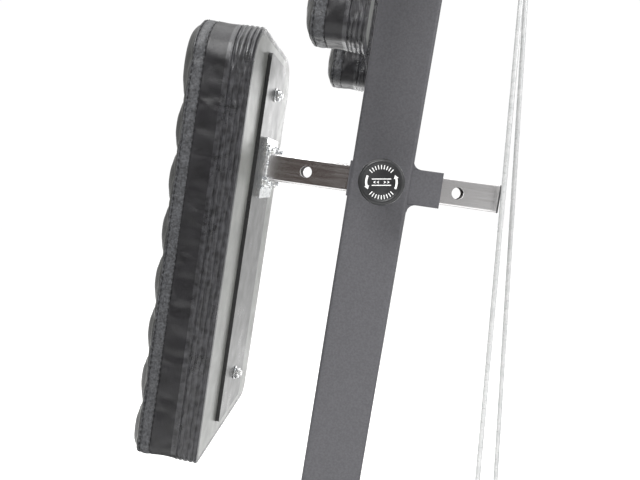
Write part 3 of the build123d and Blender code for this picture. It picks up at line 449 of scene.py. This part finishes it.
# ---------------------------------------------------------------- padded covers
# Wall rings of a cover: distance from its back (or, below zero, from its front) and inset from its outline,
# both in mm, and whether the cloth is pinned there.
BACK_BAND = [(0.0, 8.7, True), (0.0, 3.0, True), (0.9, 0.8, True), (2.8, 0.0, False), (4.6, 0.5, False),
             (5.5, 2.2, True), (6.3, 0.7, False), (8.3, 0.0, False), (10.5, 0.5, False), (11.4, 2.5, True),
             (12.2, 0.8, False), (14.6, 0.1, False), (16.8, 0.6, False), (17.8, 2.2, True),
             (18.6, 0.7, False),
             (20.6, 0.2, False), (22.4, 0.9, False), (23.3, 2.8, True), (24.0, 0.9, True), (24.9, 0.3, True),
             (25.8, 1.2, True)]
FRONT_BAND = [(-19.0, 1.2, False), (-17.6, 1.4, False), (-16.8, 2.4, True), (-16.0, 1.2, False),
              (-13.0, 0.5, False), (-10.0, 0.4, False), (-7.0, 0.6, False), (-5.6, 1.1, False),
              (-4.9, 2.2, True), (-4.2, 1.2, False)]
EDGE_TURN = 5                    # steps round the front edge
REAR_STITCH = -16.8
BOXING, BAND, FACE, FOLD = range(4)  # material slots of a cover, in the order they are added


class Cover:
    """Boxed vinyl cover of a pad in its own frame: back at x = 0, front towards -X, outline in YZ."""

    def __init__(self, name, at, width, low, high, thick_low, thick_high, corner_low, corner_high, rise,
                 creases=(), edge=6.0, slim_back=1.0):
        self.name = name
        self.at = at
        self.half = width / 2
        self.low = low
        self.high = high
        self.thick_low = thick_low
        self.thick_high = thick_high
        self.corner_low = corner_low
        self.corner_high = corner_high
        self.rise = rise
        self.creases = sorted(creases)
        self.edge = edge
        self.slim_back = slim_back

    def thickness(self, z):
        share = (z - self.low) / (self.high - self.low)
        return self.thick_low + (self.thick_high - self.thick_low) * share

    def face_rows(self):
        """Height, half width and edge angle of each row of the front face, inside the rounded edge."""
        e = self.edge
        half, low, high = self.half - e, self.low + e, self.high - e
        r_low, r_high = self.corner_low - e, self.corner_high - e
        rows = []
        turn = 8
        for i in range(turn):
            angle = -math.pi / 2 * (1 - i / turn)
            rows.append((low + r_low + r_low * math.sin(angle), half - r_low + r_low * math.cos(angle),
                         angle))
        stops = [low + r_low] + [c for c in self.creases if low + r_low < c < high - r_high] + [high - r_high]
        for a, b in zip(stops, stops[1:]):
            steps = max(6, round((b - a) / 5.0))
            for i in range(steps):
                share = i / steps
                share += 0.045 * math.sin(-2 * math.pi * share) if len(stops) > 2 else 0.0
                rows.append((a + (b - a) * share, half, 0.0))
        for i in range(turn + 1):
            angle = math.pi / 2 * i / turn
            rows.append((high - r_high + r_high * math.sin(angle), half - r_high + r_high * math.cos(angle),
                         angle))
        return rows

    def swell(self, y, z, half):
        """Height of the front face above its edge plane."""
        def crown(distance, reach):
            return math.sqrt(max(0.0, 1 - (1 - min(distance / reach, 1.0)) ** 2))

        ends = crown(min(z - self.low, self.high - z) - self.edge, 22) * crown(half - abs(y), 15)
        if not self.creases:
            return self.rise * ends
        near = min(abs(z - c) for c in self.creases)
        pitch = abs(self.creases[1] - self.creases[0]) / 2
        arc = 1 - (1 - min(near / pitch, 1.0)) ** 2.3
        pull = 1 - math.exp(-near / 2.0)
        return ends * (0.72 * self.rise * arc + 0.28 * self.rise * pull)

    def kind(self, ring):
        """Material of the faces that end at a ring."""
        if ring[0] == "front" and ring[1] > REAR_STITCH - 0.1:
            return BAND
        if ring[0] == "edge":
            return FACE
        return FOLD if ring[0] == "back" else BOXING

    def build(self):
        rows = self.face_rows()
        columns = max(16, round(2 * self.half / 5.5))
        grid = []
        vertices = []
        pins = set()
        for z, half, angle in rows:
            line = []
            for c in range(columns + 1):
                y = half * (2 * c / columns - 1)
                x = -(self.thickness(z) + self.swell(y, z, half))
                if any(abs(z - crease) < 0.05 for crease in self.creases):
                    pins.add(len(vertices))
                line.append(len(vertices))
                vertices.append((x, y, z))
            grid.append(line)
        faces = []
        kinds = []
        for i in range(len(rows) - 1):
            for c in range(columns):
                faces.append((grid[i][c], grid[i + 1][c], grid[i + 1][c + 1], grid[i][c + 1]))
                kinds.append(FACE)
        border, normals = self.border(grid, rows, columns)
        pins.update(border)
        previous = border
        last_turn = [(math.sin(math.pi / 2 * i / EDGE_TURN), math.cos(math.pi / 2 * i / EDGE_TURN))
                     for i in range(EDGE_TURN - 1, 0, -1)]
        rings = []
        for sine, cosine in last_turn:
            rings.append(("edge", sine, cosine))
        for distance, inset, pin in reversed(FRONT_BAND):
            rings.append(("front", distance, inset, pin))
        front_low = FRONT_BAND[0][0]
        boxing = 6
        for i in range(1, boxing):
            rings.append(("boxing", i / boxing))
        for distance, inset, pin in reversed(BACK_BAND):
            rings.append(("back", distance * self.slim_back, inset, pin))
        self.seams = {}
        for ring in rings:
            loop = []
            for (y, z), (ny, nz) in normals:
                thick = self.thickness(z)
                if ring[0] == "edge":
                    x = -(thick - self.edge * 0.7 * (1 - ring[1]))
                    off = self.edge * ring[2]
                    off = min(off, self.edge - 0.9)
                elif ring[0] == "front":
                    x = -(thick + ring[1])
                    off = self.edge - ring[2]
                elif ring[0] == "boxing":
                    front_x = thick + front_low
                    back_x = BACK_BAND[-1][0] * self.slim_back
                    x = -(front_x + (back_x - front_x) * ring[1])
                    off = self.edge - 1.2 - 1.0 * math.sin(math.pi * ring[1])
                else:
                    x = -ring[1]
                    off = self.edge - ring[2]
                if ring[0] == "boxing" or ring[0] == "front":
                    ripple = noise.noise(Vector((x * 0.03, y * 0.022 + 3.1, z * 0.022)))
                    off += 0.7 * ripple
                if ring[0] == "back" and not ring[3]:
                    off += 0.35 * noise.noise(Vector((x * 0.2, y * 0.05, z * 0.05 + 7.7)))
                if (ring[0] in ("front", "back") and ring[3]):
                    pins.add(len(vertices))
                loop.append(len(vertices))
                vertices.append((x, y + ny * off, z + nz * off))
            count = len(loop)
            for j in range(count):
                k = (j + 1) % count
                faces.append((previous[j], previous[k], loop[k], loop[j]))
                kinds.append(self.kind(ring))
            if ring[0] == "front" and ring[3]:
                self.seams[ring[1]] = loop
            previous = loop
        pins.update(previous)
        self.normals = normals
        piece = new_piece(self.name, [Vector(v) * MM for v in vertices], faces, FINISH["vinyl"])
        piece.data.materials.append(VINYL_BAND_SHEEN)
        piece.data.materials.append(VINYL_FACE)
        piece.data.materials.append(VINYL_FOLD_SHEEN)
        piece.data.polygons.foreach_set("material_index", kinds)
        self.piece = piece
        self.pins = sorted(pins)
        return piece

    def border(self, grid, rows, columns):
        """Edge of the face as one loop, with the outward direction at each point."""
        loop = []
        places = []
        top = len(rows) - 1
        for c in range(columns + 1):
            loop.append(grid[0][c])
            y = rows[0][1] * (2 * c / columns - 1)
            places.append(((y, rows[0][0]), (0.0, -1.0)))
        for i in range(1, top):
            z, half, angle = rows[i]
            loop.append(grid[i][columns])
            places.append(((half, z), (math.cos(angle), math.sin(angle))))
        for c in range(columns, -1, -1):
            loop.append(grid[top][c])
            y = rows[top][1] * (2 * c / columns - 1)
            places.append(((y, rows[top][0]), (0.0, 1.0)))
        for i in range(top - 1, 0, -1):
            z, half, angle = rows[i]
            loop.append(grid[i][0])
            places.append(((-half, z), (-math.cos(angle), math.sin(angle))))
        return loop, places

    def inflate(self, pressure=3.0, cap=2.2 * MM):
        """Cloth simulation between the seams, each point's move kept within the cap, then applied."""
        piece = self.piece
        group = piece.vertex_groups.new(name="seams")
        group.add(self.pins, 1.0, "REPLACE")
        before = np.array([v.co for v in piece.data.vertices], float)
        cloth = piece.modifiers.new("cloth", "CLOTH")
        settings = cloth.settings
        settings.quality = 5
        settings.mass = 0.4
        settings.use_pressure = True
        settings.uniform_pressure_force = pressure
        settings.effector_weights.gravity = 0.0
        settings.vertex_group_mass = "seams"
        settings.tension_stiffness = 12
        settings.compression_stiffness = 12
        settings.bending_stiffness = 0.6
        settings.shrink_min = -0.015
        cloth.point_cache.frame_start = 1
        cloth.point_cache.frame_end = 20
        for step in range(1, 21):
            bpy.context.scene.frame_set(step)
        depsgraph = bpy.context.evaluated_depsgraph_get()
        after = np.array([v.co for v in piece.evaluated_get(depsgraph).data.vertices], float)
        piece.modifiers.remove(cloth)
        move = after - before
        length = np.linalg.norm(move, axis=1)
        move *= (np.minimum(length, cap) / np.maximum(length, 1e-9))[:, None]
        piece.data.vertices.foreach_set("co", (before + move).ravel())
        piece.data.update()
        bpy.context.scene.frame_set(1)

    def finish(self, body, node, fill):
        piece = self.piece
        self.inflate()
        smooth = piece.modifiers.new("smooth", "SUBSURF")
        smooth.levels = smooth.render_levels = 1
        bpy.context.view_layer.objects.active = piece
        with bpy.context.temp_override(object=piece, active_object=piece, selected_objects=[piece]):
            bpy.ops.object.modifier_apply(modifier="smooth")
        piece.data.transform(self.at)
        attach(piece, body)
        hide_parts(node)
        self.sew(body)

    def sew(self, body):
        """Threads along both band seams and along each crease of the face."""
        shape = Shape()
        turn = self.at.to_3x3()
        for distance, loop in self.seams.items():
            points = []
            outward = []
            inset = next(i for d, i, pin in FRONT_BAND if d == distance)
            for (y, z), (ny, nz) in self.normals + self.normals[:1]:
                off = self.edge - inset + 0.75
                x = -(self.thickness(z) + distance)
                points.append(self.at @ (Vector((x, y + ny * off, z + nz * off)) * MM))
                outward.append(turn @ Vector((0, ny, nz)))
            stitch_line(shape, points, outward, 4.4 * MM, 2.6 * MM, 0.55 * MM)
        for crease in self.creases:
            half = self.half - self.edge
            points = []
            outward = []
            for i in range(-20, 21):
                y = half * i / 20.5
                x = -(self.thickness(crease) + 0.4)
                points.append(self.at @ (Vector((x, y, crease)) * MM))
                outward.append(turn @ Vector((-1, 0, 0)))
            stitch_line(shape, points, outward, 4.4 * MM, 2.6 * MM, 0.5 * MM)
        threads = shape.piece(self.name + "_stitching", THREAD)
        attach(threads, body)


def make_covers():
    pad = Cover("chest_pad_cover", PAD_FRAME @ Matrix.Translation((-157.5 * MM, 0, 0)), 266.0, -358.0, 153.5,
                73.6, 70.8, 18.0, 50.0, 7.6, creases=[57.0 - 58.5 * i for i in range(7)])
    pad.build()
    pad.finish("chest_pad", "pad_cushion", 0.8)
    front = UPRIGHT_SHIFT - TUBE_D / 2
    for side, name in ((-1, "right"), (1, "left")):
        place = PAD_FRAME @ Matrix.Translation((front, side * 140 * MM, 0))
        upper = Cover("upper_pad_cover_" + name, place, 79.5, 132.3, 461.7, 59.0, 59.0, 20.0, 20.0, 3.8,
                      slim_back=0.8)
        upper.build()
        upper.finish("frame", "upper_pad_cushion_" + name, 0.8)
    low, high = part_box("seat_cushion")
    lay = Matrix.Translation(((low.x + high.x) / 2, 0, low.z)) @ Matrix.Rotation(math.pi / 2, 4, "Y")
    seat = Cover("seat_cover", lay, 299.0, -159.5, 159.5, 53.0, 53.0, 45.0, 45.0, 6.5, edge=9.0,
                 slim_back=0.7)
    seat.build()
    seat.finish("seat", "seat_cushion", 0.75)


# ---------------------------------------------------------------- cables
CABLE_R = 3.1 * MM
TURN_R = 40 * MM
RUN_Y = 40 * MM
LAY = 2 * math.pi / 0.045        # one turn of the strands every 45 mm
CABLE_STEP = 2.5 * MM


def arc(centre, start, stop, count=26):
    """Points of a quarter or half turn about centre, from the direction start to the direction stop."""
    points = []
    whole = start.angle(stop)
    for i in range(count + 1):
        angle = whole * i / count
        points.append(centre + (start * math.sin(whole - angle) + stop * math.sin(angle))
                      / math.sin(whole) * TURN_R)
    return points


def straight(start, stop, step=CABLE_STEP):
    count = max(2, round((stop - start).length / step))
    return [start.lerp(stop, i / count) for i in range(count + 1)]


def joined(*runs):
    """Runs of points as one line, without doubled points."""
    points = list(runs[0])
    for run in runs[1:]:
        points.extend(p for p in run if (p - points[-1]).length > 0.3 * MM)
    return points


def laid_cable(name, points):
    shape = swept(points, CABLE_R + 0.07 * MM, 24, LAY, 8, 0.14 * MM)
    return new_piece(name, shape.vertices, shape.faces, FINISH["cable"])


def make_cables():
    top = middle("top_front_pulleys")
    rear = middle("top_rear_pulleys")
    exits = {}
    for side, name in ((-1, "right"), (1, "left")):
        inward = Vector((0, -side, 0))
        corner = middle("corner_pulley_" + name)
        exit_centre = middle("exit_pulley_" + name)
        front = Vector((top.x, side * RUN_Y, top.z))
        back = Vector((rear.x, side * RUN_Y, top.z))
        foot = corner + inward * TURN_R
        dx, dz = front.x - foot.x, front.z - foot.z
        lean = math.atan2(dx, dz) - math.atan2(TURN_R, math.sqrt(dx * dx + dz * dz - TURN_R ** 2))
        way = Vector((math.sin(lean), 0, math.cos(lean)))
        out = Vector((-math.cos(lean), 0, math.sin(lean)))
        line = joined(arc(exit_centre, -inward, -PULL),
                      straight(exit_centre - PULL * TURN_R, corner - way * TURN_R),
                      arc(corner, -way, inward), straight(foot, front + out * TURN_R), arc(front, out, UP),
                      straight(front + UP * TURN_R, back + UP * TURN_R), arc(back, UP, Vector((1, 0, 0))))
        circuit = laid_cable(name + "_cable_circuit", line)
        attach(circuit, "frame")
        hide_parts(name + "_cable")
        exits[side] = exit_centre - inward * TURN_R
        tail_length = 45 * MM + (exits[-1] - exits[side]).dot(PULL)
        end = exits[side] + PULL * tail_length
        tail = laid_cable(name + "_cable_tail", straight(exits[side], end + PULL * 1 * MM, 1.2 * MM))
        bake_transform(tail)
    stack = middle("floating_pulley")
    near = Vector((stack.x, -RUN_Y, stack.z))
    far = Vector((stack.x, RUN_Y, stack.z))
    lift = Vector((0, 0, top.z - stack.z))
    down = [stack + Vector((0, -TURN_R * math.cos(a), -TURN_R * math.sin(a)))
            for a in (math.pi * i / 50 for i in range(51))]
    loop = laid_cable("stack_cable_loop",
                      joined(straight(near + lift, near), down, straight(far, far + lift)))
    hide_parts("stack_cable")
    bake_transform(loop)


# ---------------------------------------------------------------- lock knob


def make_knob():
    low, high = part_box("lock_knob")
    face = low.y
    at = facing(Vector((KNOB.x, face, KNOB.z)), (0, 1, 0))

    def fluted(size, angle, height):
        side = 5 * MM < height < 15 * MM
        return size - (0.45 * MM * (1 + math.cos(30 * angle)) if side else 0.0)

    profile = [(1.0, 0.01), (1.0, 20.6), (0.55, 21.6), (0.2, 22.6), (0.2, 23.6), (0.7, 25.0), (2.0, 26.4),
               (4.0, 26.95),
               (5.1, 27.0), (14.9, 27.0), (16.0, 26.0), (18.4, 23.0), (20.0, 17.0),
               (20.0, 12.0), (22.9, 11.8),
               (22.9, 7.2), (1.8, 7.15)]
    body = Shape()
    body.lathe([(h * MM, r * MM) for h, r in profile], at, 180, fluted, closed=False)
    knob = body.piece("lock_knob_body", FINISH["cap_plastic"])
    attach(knob, "lock_knob")
    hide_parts("lock_knob")
    marks = Shape()
    height = face + 0.85 * MM

    def flat(outline):
        """A print mark: a thin raised patch from a closed outline in the knob's face."""
        rings = []
        for y in (height + 0.3 * MM, height):
            rings.append([Vector((KNOB.x + x * MM, y, KNOB.z + z * MM)) for x, z in outline])
        marks.loops(rings)

    def polar(radius, degrees):
        angle = math.radians(degrees)
        return radius * math.cos(angle), radius * math.sin(angle)

    for start in (-26, 154):
        band = [polar(18.6, start + 4 * i) for i in range(11)]
        band += [polar(16.2, start + 4 * i) for i in range(10, -1, -1)]
        flat(band)
        flat([polar(14.6, start + 40), polar(20.2, start + 40), polar(17.4, start + 53)])
    for centre in (90, 270):
        for i in range(-4, 5):
            a = centre + 11.0 * i
            flat([polar(14.9, a - 1.9), polar(19.7, a - 1.4), polar(19.7, a + 1.4), polar(14.9, a + 1.9)])
    for z in (-3.6, 3.6):
        flat([(-11, z - 0.5), (11, z - 0.5), (11, z + 0.5), (-11, z + 0.5)])
    for way in (-1, 1):
        for x in (2.5, 6.5):
            tip = [(way * x, -1.7), (way * (x + 3.0), 0.0), (way * x, 1.7), (way * (x + 0.9), 0.0)]
            flat(tip if way > 0 else tip[::-1])
    print_marks = new_piece("lock_knob_marks", marks.vertices, marks.faces, PRINT, smooth=False)
    fix_normals(print_marks)
    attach(print_marks, "lock_knob")


def fix_normals(piece):
    """Outward faces on closed parts."""
    mesh = bmesh.new()
    mesh.from_mesh(piece.data)
    bmesh.ops.recalc_face_normals(mesh, faces=mesh.faces)
    mesh.to_mesh(piece.data)
    mesh.free()


# ---------------------------------------------------------------- fasteners
def hex_radius(size, angle):
    """Radius of a hexagon of this half width across flats, at an angle."""
    return size / math.cos((angle % (math.pi / 3)) - math.pi / 6)


def fastener(shape, at, flats=13 * MM, thick=6.5 * MM, bolt=8 * MM, out=3.5 * MM, washer=True):
    """Washer, chamfered hexagon nut and the threaded end of its bolt, standing on at's XY plane."""
    base = 0.0
    if washer:
        base = 1.4 * MM
        shape.lathe([(0, 4.1 * MM), (0, 8.4 * MM), (0.25 * MM, 8.8 * MM), (1.1 * MM, 8.8 * MM),
                     (base, 8.4 * MM),
                     (base, 4.1 * MM)], at, 32)
    half = flats / 2
    limit = half * 1.04
    top = thick

    def clipped(size, angle, height):
        reach = hex_radius(half, angle)
        at_end = height < base + 0.2 * MM or height > top - 0.2 * MM
        return min(reach, limit) if at_end else reach

    shape.lathe([(base, half), (base + 0.9 * MM, half), (top - 1.0 * MM, half), (top, half)], at, 36, clipped)
    pitch = 1.25 * MM
    turns = int(out / pitch)
    profile = [(top - 0.1 * MM, bolt / 2)]
    for i in range(turns):
        profile.append((top + pitch * (i + 0.3), bolt / 2 * 0.86))
        profile.append((top + pitch * (i + 0.8), bolt / 2))
    profile.append((top + out - 0.5 * MM, bolt / 2 * 0.9))
    profile.append((top + out, bolt / 2 * 0.78))
    shape.lathe(profile, at, 24)


def make_pad_fasteners():
    shape = Shape()
    plate_x = -152.5 * MM
    bracket_x = plate_x + 6 * MM
    places = [(plate_x, 0, -281.5), (plate_x, 0, 89.5)]
    places += [(bracket_x, y, -2.6 + dz) for y in (-33, 33) for dz in (-20.5, 20.5)]
    for i, (x, y, z) in enumerate(places):
        at = PAD_FRAME @ facing(Vector((x, y * MM, z * MM)), (1, 0, 0)) @ Matrix.Rotation(0.37 * i, 4, "Z")
        fastener(shape, at)
    nuts = shape.piece("chest_pad_nuts", FINISH["zinc"])
    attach(nuts, "chest_pad")
    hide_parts("pad_bolts")


# ---------------------------------------------------------------- weld beads
def rectangle(at, x_half, y_half, radius=4 * MM, step=1.6 * MM):
    """Closed rounded rectangle of points in at's XY plane."""
    points = []
    corners = [(1, 1, 0), (-1, 1, 90), (-1, -1, 180), (1, -1, 270)]
    for sx, sy, start in corners:
        centre = Vector((sx * (x_half - radius), sy * (y_half - radius), 0))
        for i in range(5):
            angle = math.radians(start + 22.5 * i)
            points.append(centre + Vector((radius * math.cos(angle), radius * math.sin(angle), 0)))
    line = []
    for a, b in zip(points, points[1:] + points[:1]):
        count = max(1, round((b - a).length / step))
        line.extend(at @ a.lerp(b, i / count) for i in range(count))
    return line


def bead(shape, points, radius=2.6 * MM):
    """Rippled weld bead along a closed line."""
    part = swept(points, radius, 8, ripple=lambda i: 1 + 0.16 * math.sin(i * 1.9) + 0.1 * math.sin(i * 0.7),
                 closed=True)
    base = len(shape.vertices)
    shape.vertices.extend(part.vertices)
    shape.faces.extend(tuple(base + v for v in face) for face in part.faces)


def make_welds():
    shape = Shape()
    beam_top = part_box("base_beam")[1].z
    boom_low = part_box("rear_column")[1].z
    slant = math.tan(math.radians(RAKE))
    for z in (beam_top, boom_low):
        x = KNOB.x + UPRIGHT_SHIFT + (z - KNOB.z) * slant
        reach = TUBE_D / 2 / math.cos(math.radians(RAKE))
        bead(shape, rectangle(Matrix.Translation((x, 0, z)), reach, TUBE_W / 2))
        column = middle("rear_column")
        bead(shape, rectangle(Matrix.Translation((column.x, 0, z)), TUBE_D / 2, TUBE_W / 2))
    sleeve = middle("seat_post_sleeve")
    side = (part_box("seat_post_sleeve")[1].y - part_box("seat_post_sleeve")[0].y) / 2
    bead(shape, rectangle(Matrix.Translation((sleeve.x, 0, beam_top)), side, side))
    low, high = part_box("base_beam")
    for x in (low.x, high.x):
        at = facing(Vector((x, 0, (low.z + high.z) / 2)), (1, 0, 0))
        bead(shape, rectangle(at, (high.z - low.z) / 2, TUBE_W / 2), 2.2 * MM)
    ring = [Vector((KNOB.x + 15.4 * MM * math.cos(a), -TUBE_W / 2, KNOB.z + 15.4 * MM * math.sin(a)))
            for a in (2 * math.pi * i / 64 for i in range(64))]
    bead(shape, ring, 1.6 * MM)
    welds = new_piece("frame_welds", shape.vertices, shape.faces, FINISH["frame_paint"])
    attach(welds, "frame")

    shape = Shape()
    at = BAR_FRAME @ facing(Vector((-146.0 * MM, 0, 0)), (1, 0, 0))
    lean = math.tan(math.radians(RAKE - BAR_TILT))
    ring = []
    for p in rectangle(at, 17.5 * MM, 17.5 * MM, 3 * MM, 1.3 * MM):
        local = BAR_FRAME.inverted() @ p
        local.x = -146.6 * MM + local.z * lean
        ring.append(BAR_FRAME @ local)
    bead(shape, ring, 2.0 * MM)
    weld = new_piece("chest_bar_weld", shape.vertices, shape.faces, FINISH["zinc"])
    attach(weld, "chest_pad")


# ---------------------------------------------------------------- handle grips
def make_grips():
    half = 53 * MM
    for name in ("left", "right"):
        centre = middle(f"handle_{name}_grip")
        profile = [(-half, 5.2 * MM), (-half, 13.0 * MM), (-half + 1.2 * MM, 15.2 * MM),
                   (-half + 3.5 * MM, 16.0 * MM),
                   (-half + 6.0 * MM, 15.6 * MM), (-half + 7.0 * MM, 13.9 * MM)]
        ribs = 15
        pitch = (2 * half - 16 * MM) / ribs
        for i in range(ribs):
            start = -half + 8 * MM + pitch * i
            swell = 0.9 * MM * math.sin(math.pi * (i + 0.5) / ribs)
            profile += [(start + 0.3 * MM, 13.6 * MM + swell), (start + 1.2 * MM, 14.7 * MM + swell),
                        (start + pitch - 1.4 * MM, 14.7 * MM + swell),
                        (start + pitch - 0.5 * MM, 13.6 * MM + swell)]
        profile += [(half - 7.0 * MM, 13.9 * MM), (half - 6.0 * MM, 15.6 * MM), (half - 3.5 * MM, 16.0 * MM),
                    (half - 1.2 * MM, 15.2 * MM), (half, 13.0 * MM), (half, 5.2 * MM)]
        shape = Shape()
        shape.lathe(profile, facing(centre, ACROSS), 60, closed=False)
        grip = shape.piece(f"handle_{name}_rubber_grip", FINISH["grip_rubber"])
        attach(grip, f"handle_{name}_grip")
        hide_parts(f"handle_{name}_grip")


# ---------------------------------------------------------------- foot plate treads
def make_treads():
    low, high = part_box("foot_rest_plates")
    slope = Vector((math.cos(math.radians(60)), 0, math.sin(math.radians(60))))
    face = Vector((-slope.z, 0, slope.x))
    shape = Shape()
    start = Vector((low.x, 0, low.z)) + face * 0.2 * MM
    length = (high.z - low.z) / slope.z
    for side in (-1, 1):
        for i in range(9):
            centre = start + slope * (length * (0.12 + 0.095 * i)) + Vector((0, side * 125 * MM, 0))
            path = [centre + Vector((0, s * 46 * MM, 0)) for s in (-1, -0.94, -0.5, 0, 0.5, 0.94, 1)]
            part = swept(path, 4.2 * MM, 12, ripple=lambda n: (0.4, 1, 1, 1, 1, 1, 0.4)[n])
            base = len(shape.vertices)
            shape.vertices.extend(v - face * max(0.0, (v - centre).dot(face) * 0.62) for v in part.vertices)
            shape.faces.extend(tuple(base + v for v in f) for f in part.faces)
    treads = new_piece("foot_plate_treads", shape.vertices, shape.faces, FINISH["foot_rubber"])
    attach(treads, "frame")


# ---------------------------------------------------------------- stage
def emission(name, colour, strength):
    material = bpy.data.materials.new(name)
    material.use_nodes = True
    tree = material.node_tree
    tree.nodes.clear()
    light = tree.nodes.new("ShaderNodeEmission")
    light.inputs["Color"].default_value = (*colour, 1)
    light.inputs["Strength"].default_value = strength
    out = tree.nodes.new("ShaderNodeOutputMaterial")
    tree.links.new(light.outputs[0], out.inputs["Surface"])
    return material


def make_floor():
    shape = Shape()
    reach = 14.0
    shape.lathe([(-0.02, reach), (0.0, reach)], Matrix.Translation((0, 0, -0.0002)), 96)
    s = Shader("studio_floor", Specular_IOR_Level=0.2)
    s.colour(s.noise(3, 2), (0.90, 0.90, 0.895), (0.93, 0.93, 0.925))
    s.rough(s.noise(8, 3), 0.7, 0.85)
    s.bsdf.inputs["Emission Color"].default_value = (1, 1, 1, 1)
    s.bsdf.inputs["Emission Strength"].default_value = 0.36
    finish = s.bump((s.noise(120, 2), 0.2 * MM, 0.1))
    floor = new_piece("floor", shape.vertices, shape.faces, finish, smooth=False)
    fix_normals(floor)


def make_card():
    """Dark card beside the camera, seen only in reflections."""
    x0, x1, y, z0, z1 = KNOB.x - 2.0, KNOB.x + 0.13, -2.4, 0.05, 1.75
    corners = [(x0, y, z0), (x1, y, z0), (x1, y, z1), (x0, y, z1)]
    card = new_piece("reflection_card", corners, [(0, 1, 2, 3)], emission("card", (0.085, 0.066, 0.058), 1.0))
    card.visible_camera = False
    card.visible_diffuse = False
    card.visible_shadow = False
    card.visible_transmission = False


def make_world():
    world = bpy.data.worlds.new("studio")
    bpy.context.scene.world = world
    world.use_nodes = True
    tree = world.node_tree
    tree.nodes.clear()
    coords = tree.nodes.new("ShaderNodeTexCoord")
    split = tree.nodes.new("ShaderNodeSeparateXYZ")
    tree.links.new(coords.outputs["Generated"], split.inputs[0])
    height = tree.nodes.new("ShaderNodeMapRange")
    for socket, value in (("From Min", -0.6), ("From Max", 0.8), ("To Min", 0.18), ("To Max", 0.95)):
        height.inputs[socket].default_value = value
    tree.links.new(split.outputs["Z"], height.inputs["Value"])
    room = tree.nodes.new("ShaderNodeBackground")
    room.inputs["Color"].default_value = (1, 1, 1, 1)
    tree.links.new(height.outputs[0], room.inputs["Strength"])
    white = tree.nodes.new("ShaderNodeBackground")
    white.inputs["Color"].default_value = (1, 1, 1, 1)
    white.inputs["Strength"].default_value = 1.02
    path = tree.nodes.new("ShaderNodeLightPath")
    mix = tree.nodes.new("ShaderNodeMixShader")
    tree.links.new(path.outputs["Is Camera Ray"], mix.inputs[0])
    tree.links.new(room.outputs[0], mix.inputs[1])
    tree.links.new(white.outputs[0], mix.inputs[2])
    out = tree.nodes.new("ShaderNodeOutputWorld")
    tree.links.new(mix.outputs[0], out.inputs["Surface"])


def area_light(name, place, target, width, height, power):
    data = bpy.data.lights.new(name, "AREA")
    data.shape = "RECTANGLE"
    data.size = width
    data.size_y = height
    data.energy = power
    light = bpy.data.objects.new(name, data)
    bpy.context.scene.collection.objects.link(light)
    light.location = place
    light.rotation_euler = (Vector(target) - Vector(place)).to_track_quat("-Z", "Y").to_euler()
    light.visible_camera = False


def make_lights():
    area_light("key", (KNOB.x - 0.5, -1.25, 2.35), (KNOB.x, 0, 1.3), 1.1, 0.9, 30)
    area_light("top", (KNOB.x + 0.1, 0.1, 3.1), KNOB, 2.0, 2.0, 30)
    area_light("right", (KNOB.x + 1.9, -1.0, 1.9), (KNOB.x, 0, 1.2), 0.9, 1.2, 16)
    area_light("back", (KNOB.x + 0.2, 2.4, 1.6), KNOB, 2.4, 1.6, 26)


def make_camera():
    data = bpy.data.cameras.new("camera")
    data.lens = 34.98
    data.sensor_width = 36.0
    camera = bpy.data.objects.new("camera", data)
    bpy.context.scene.collection.objects.link(camera)
    camera.location = KNOB + Vector((-4.2, -806.2, -4.8)) * MM
    camera.rotation_euler = (math.radians(90 - 4.93), 0, math.radians(5.28))
    bpy.context.scene.camera = camera


make_camera()
make_floor()
make_card()
make_world()
make_lights()
bpy.context.scene.view_settings.view_transform = "Standard"
finish_nodes()
make_covers()
make_cables()
make_knob()
make_pad_fasteners()
make_welds()
make_grips()
make_treads()
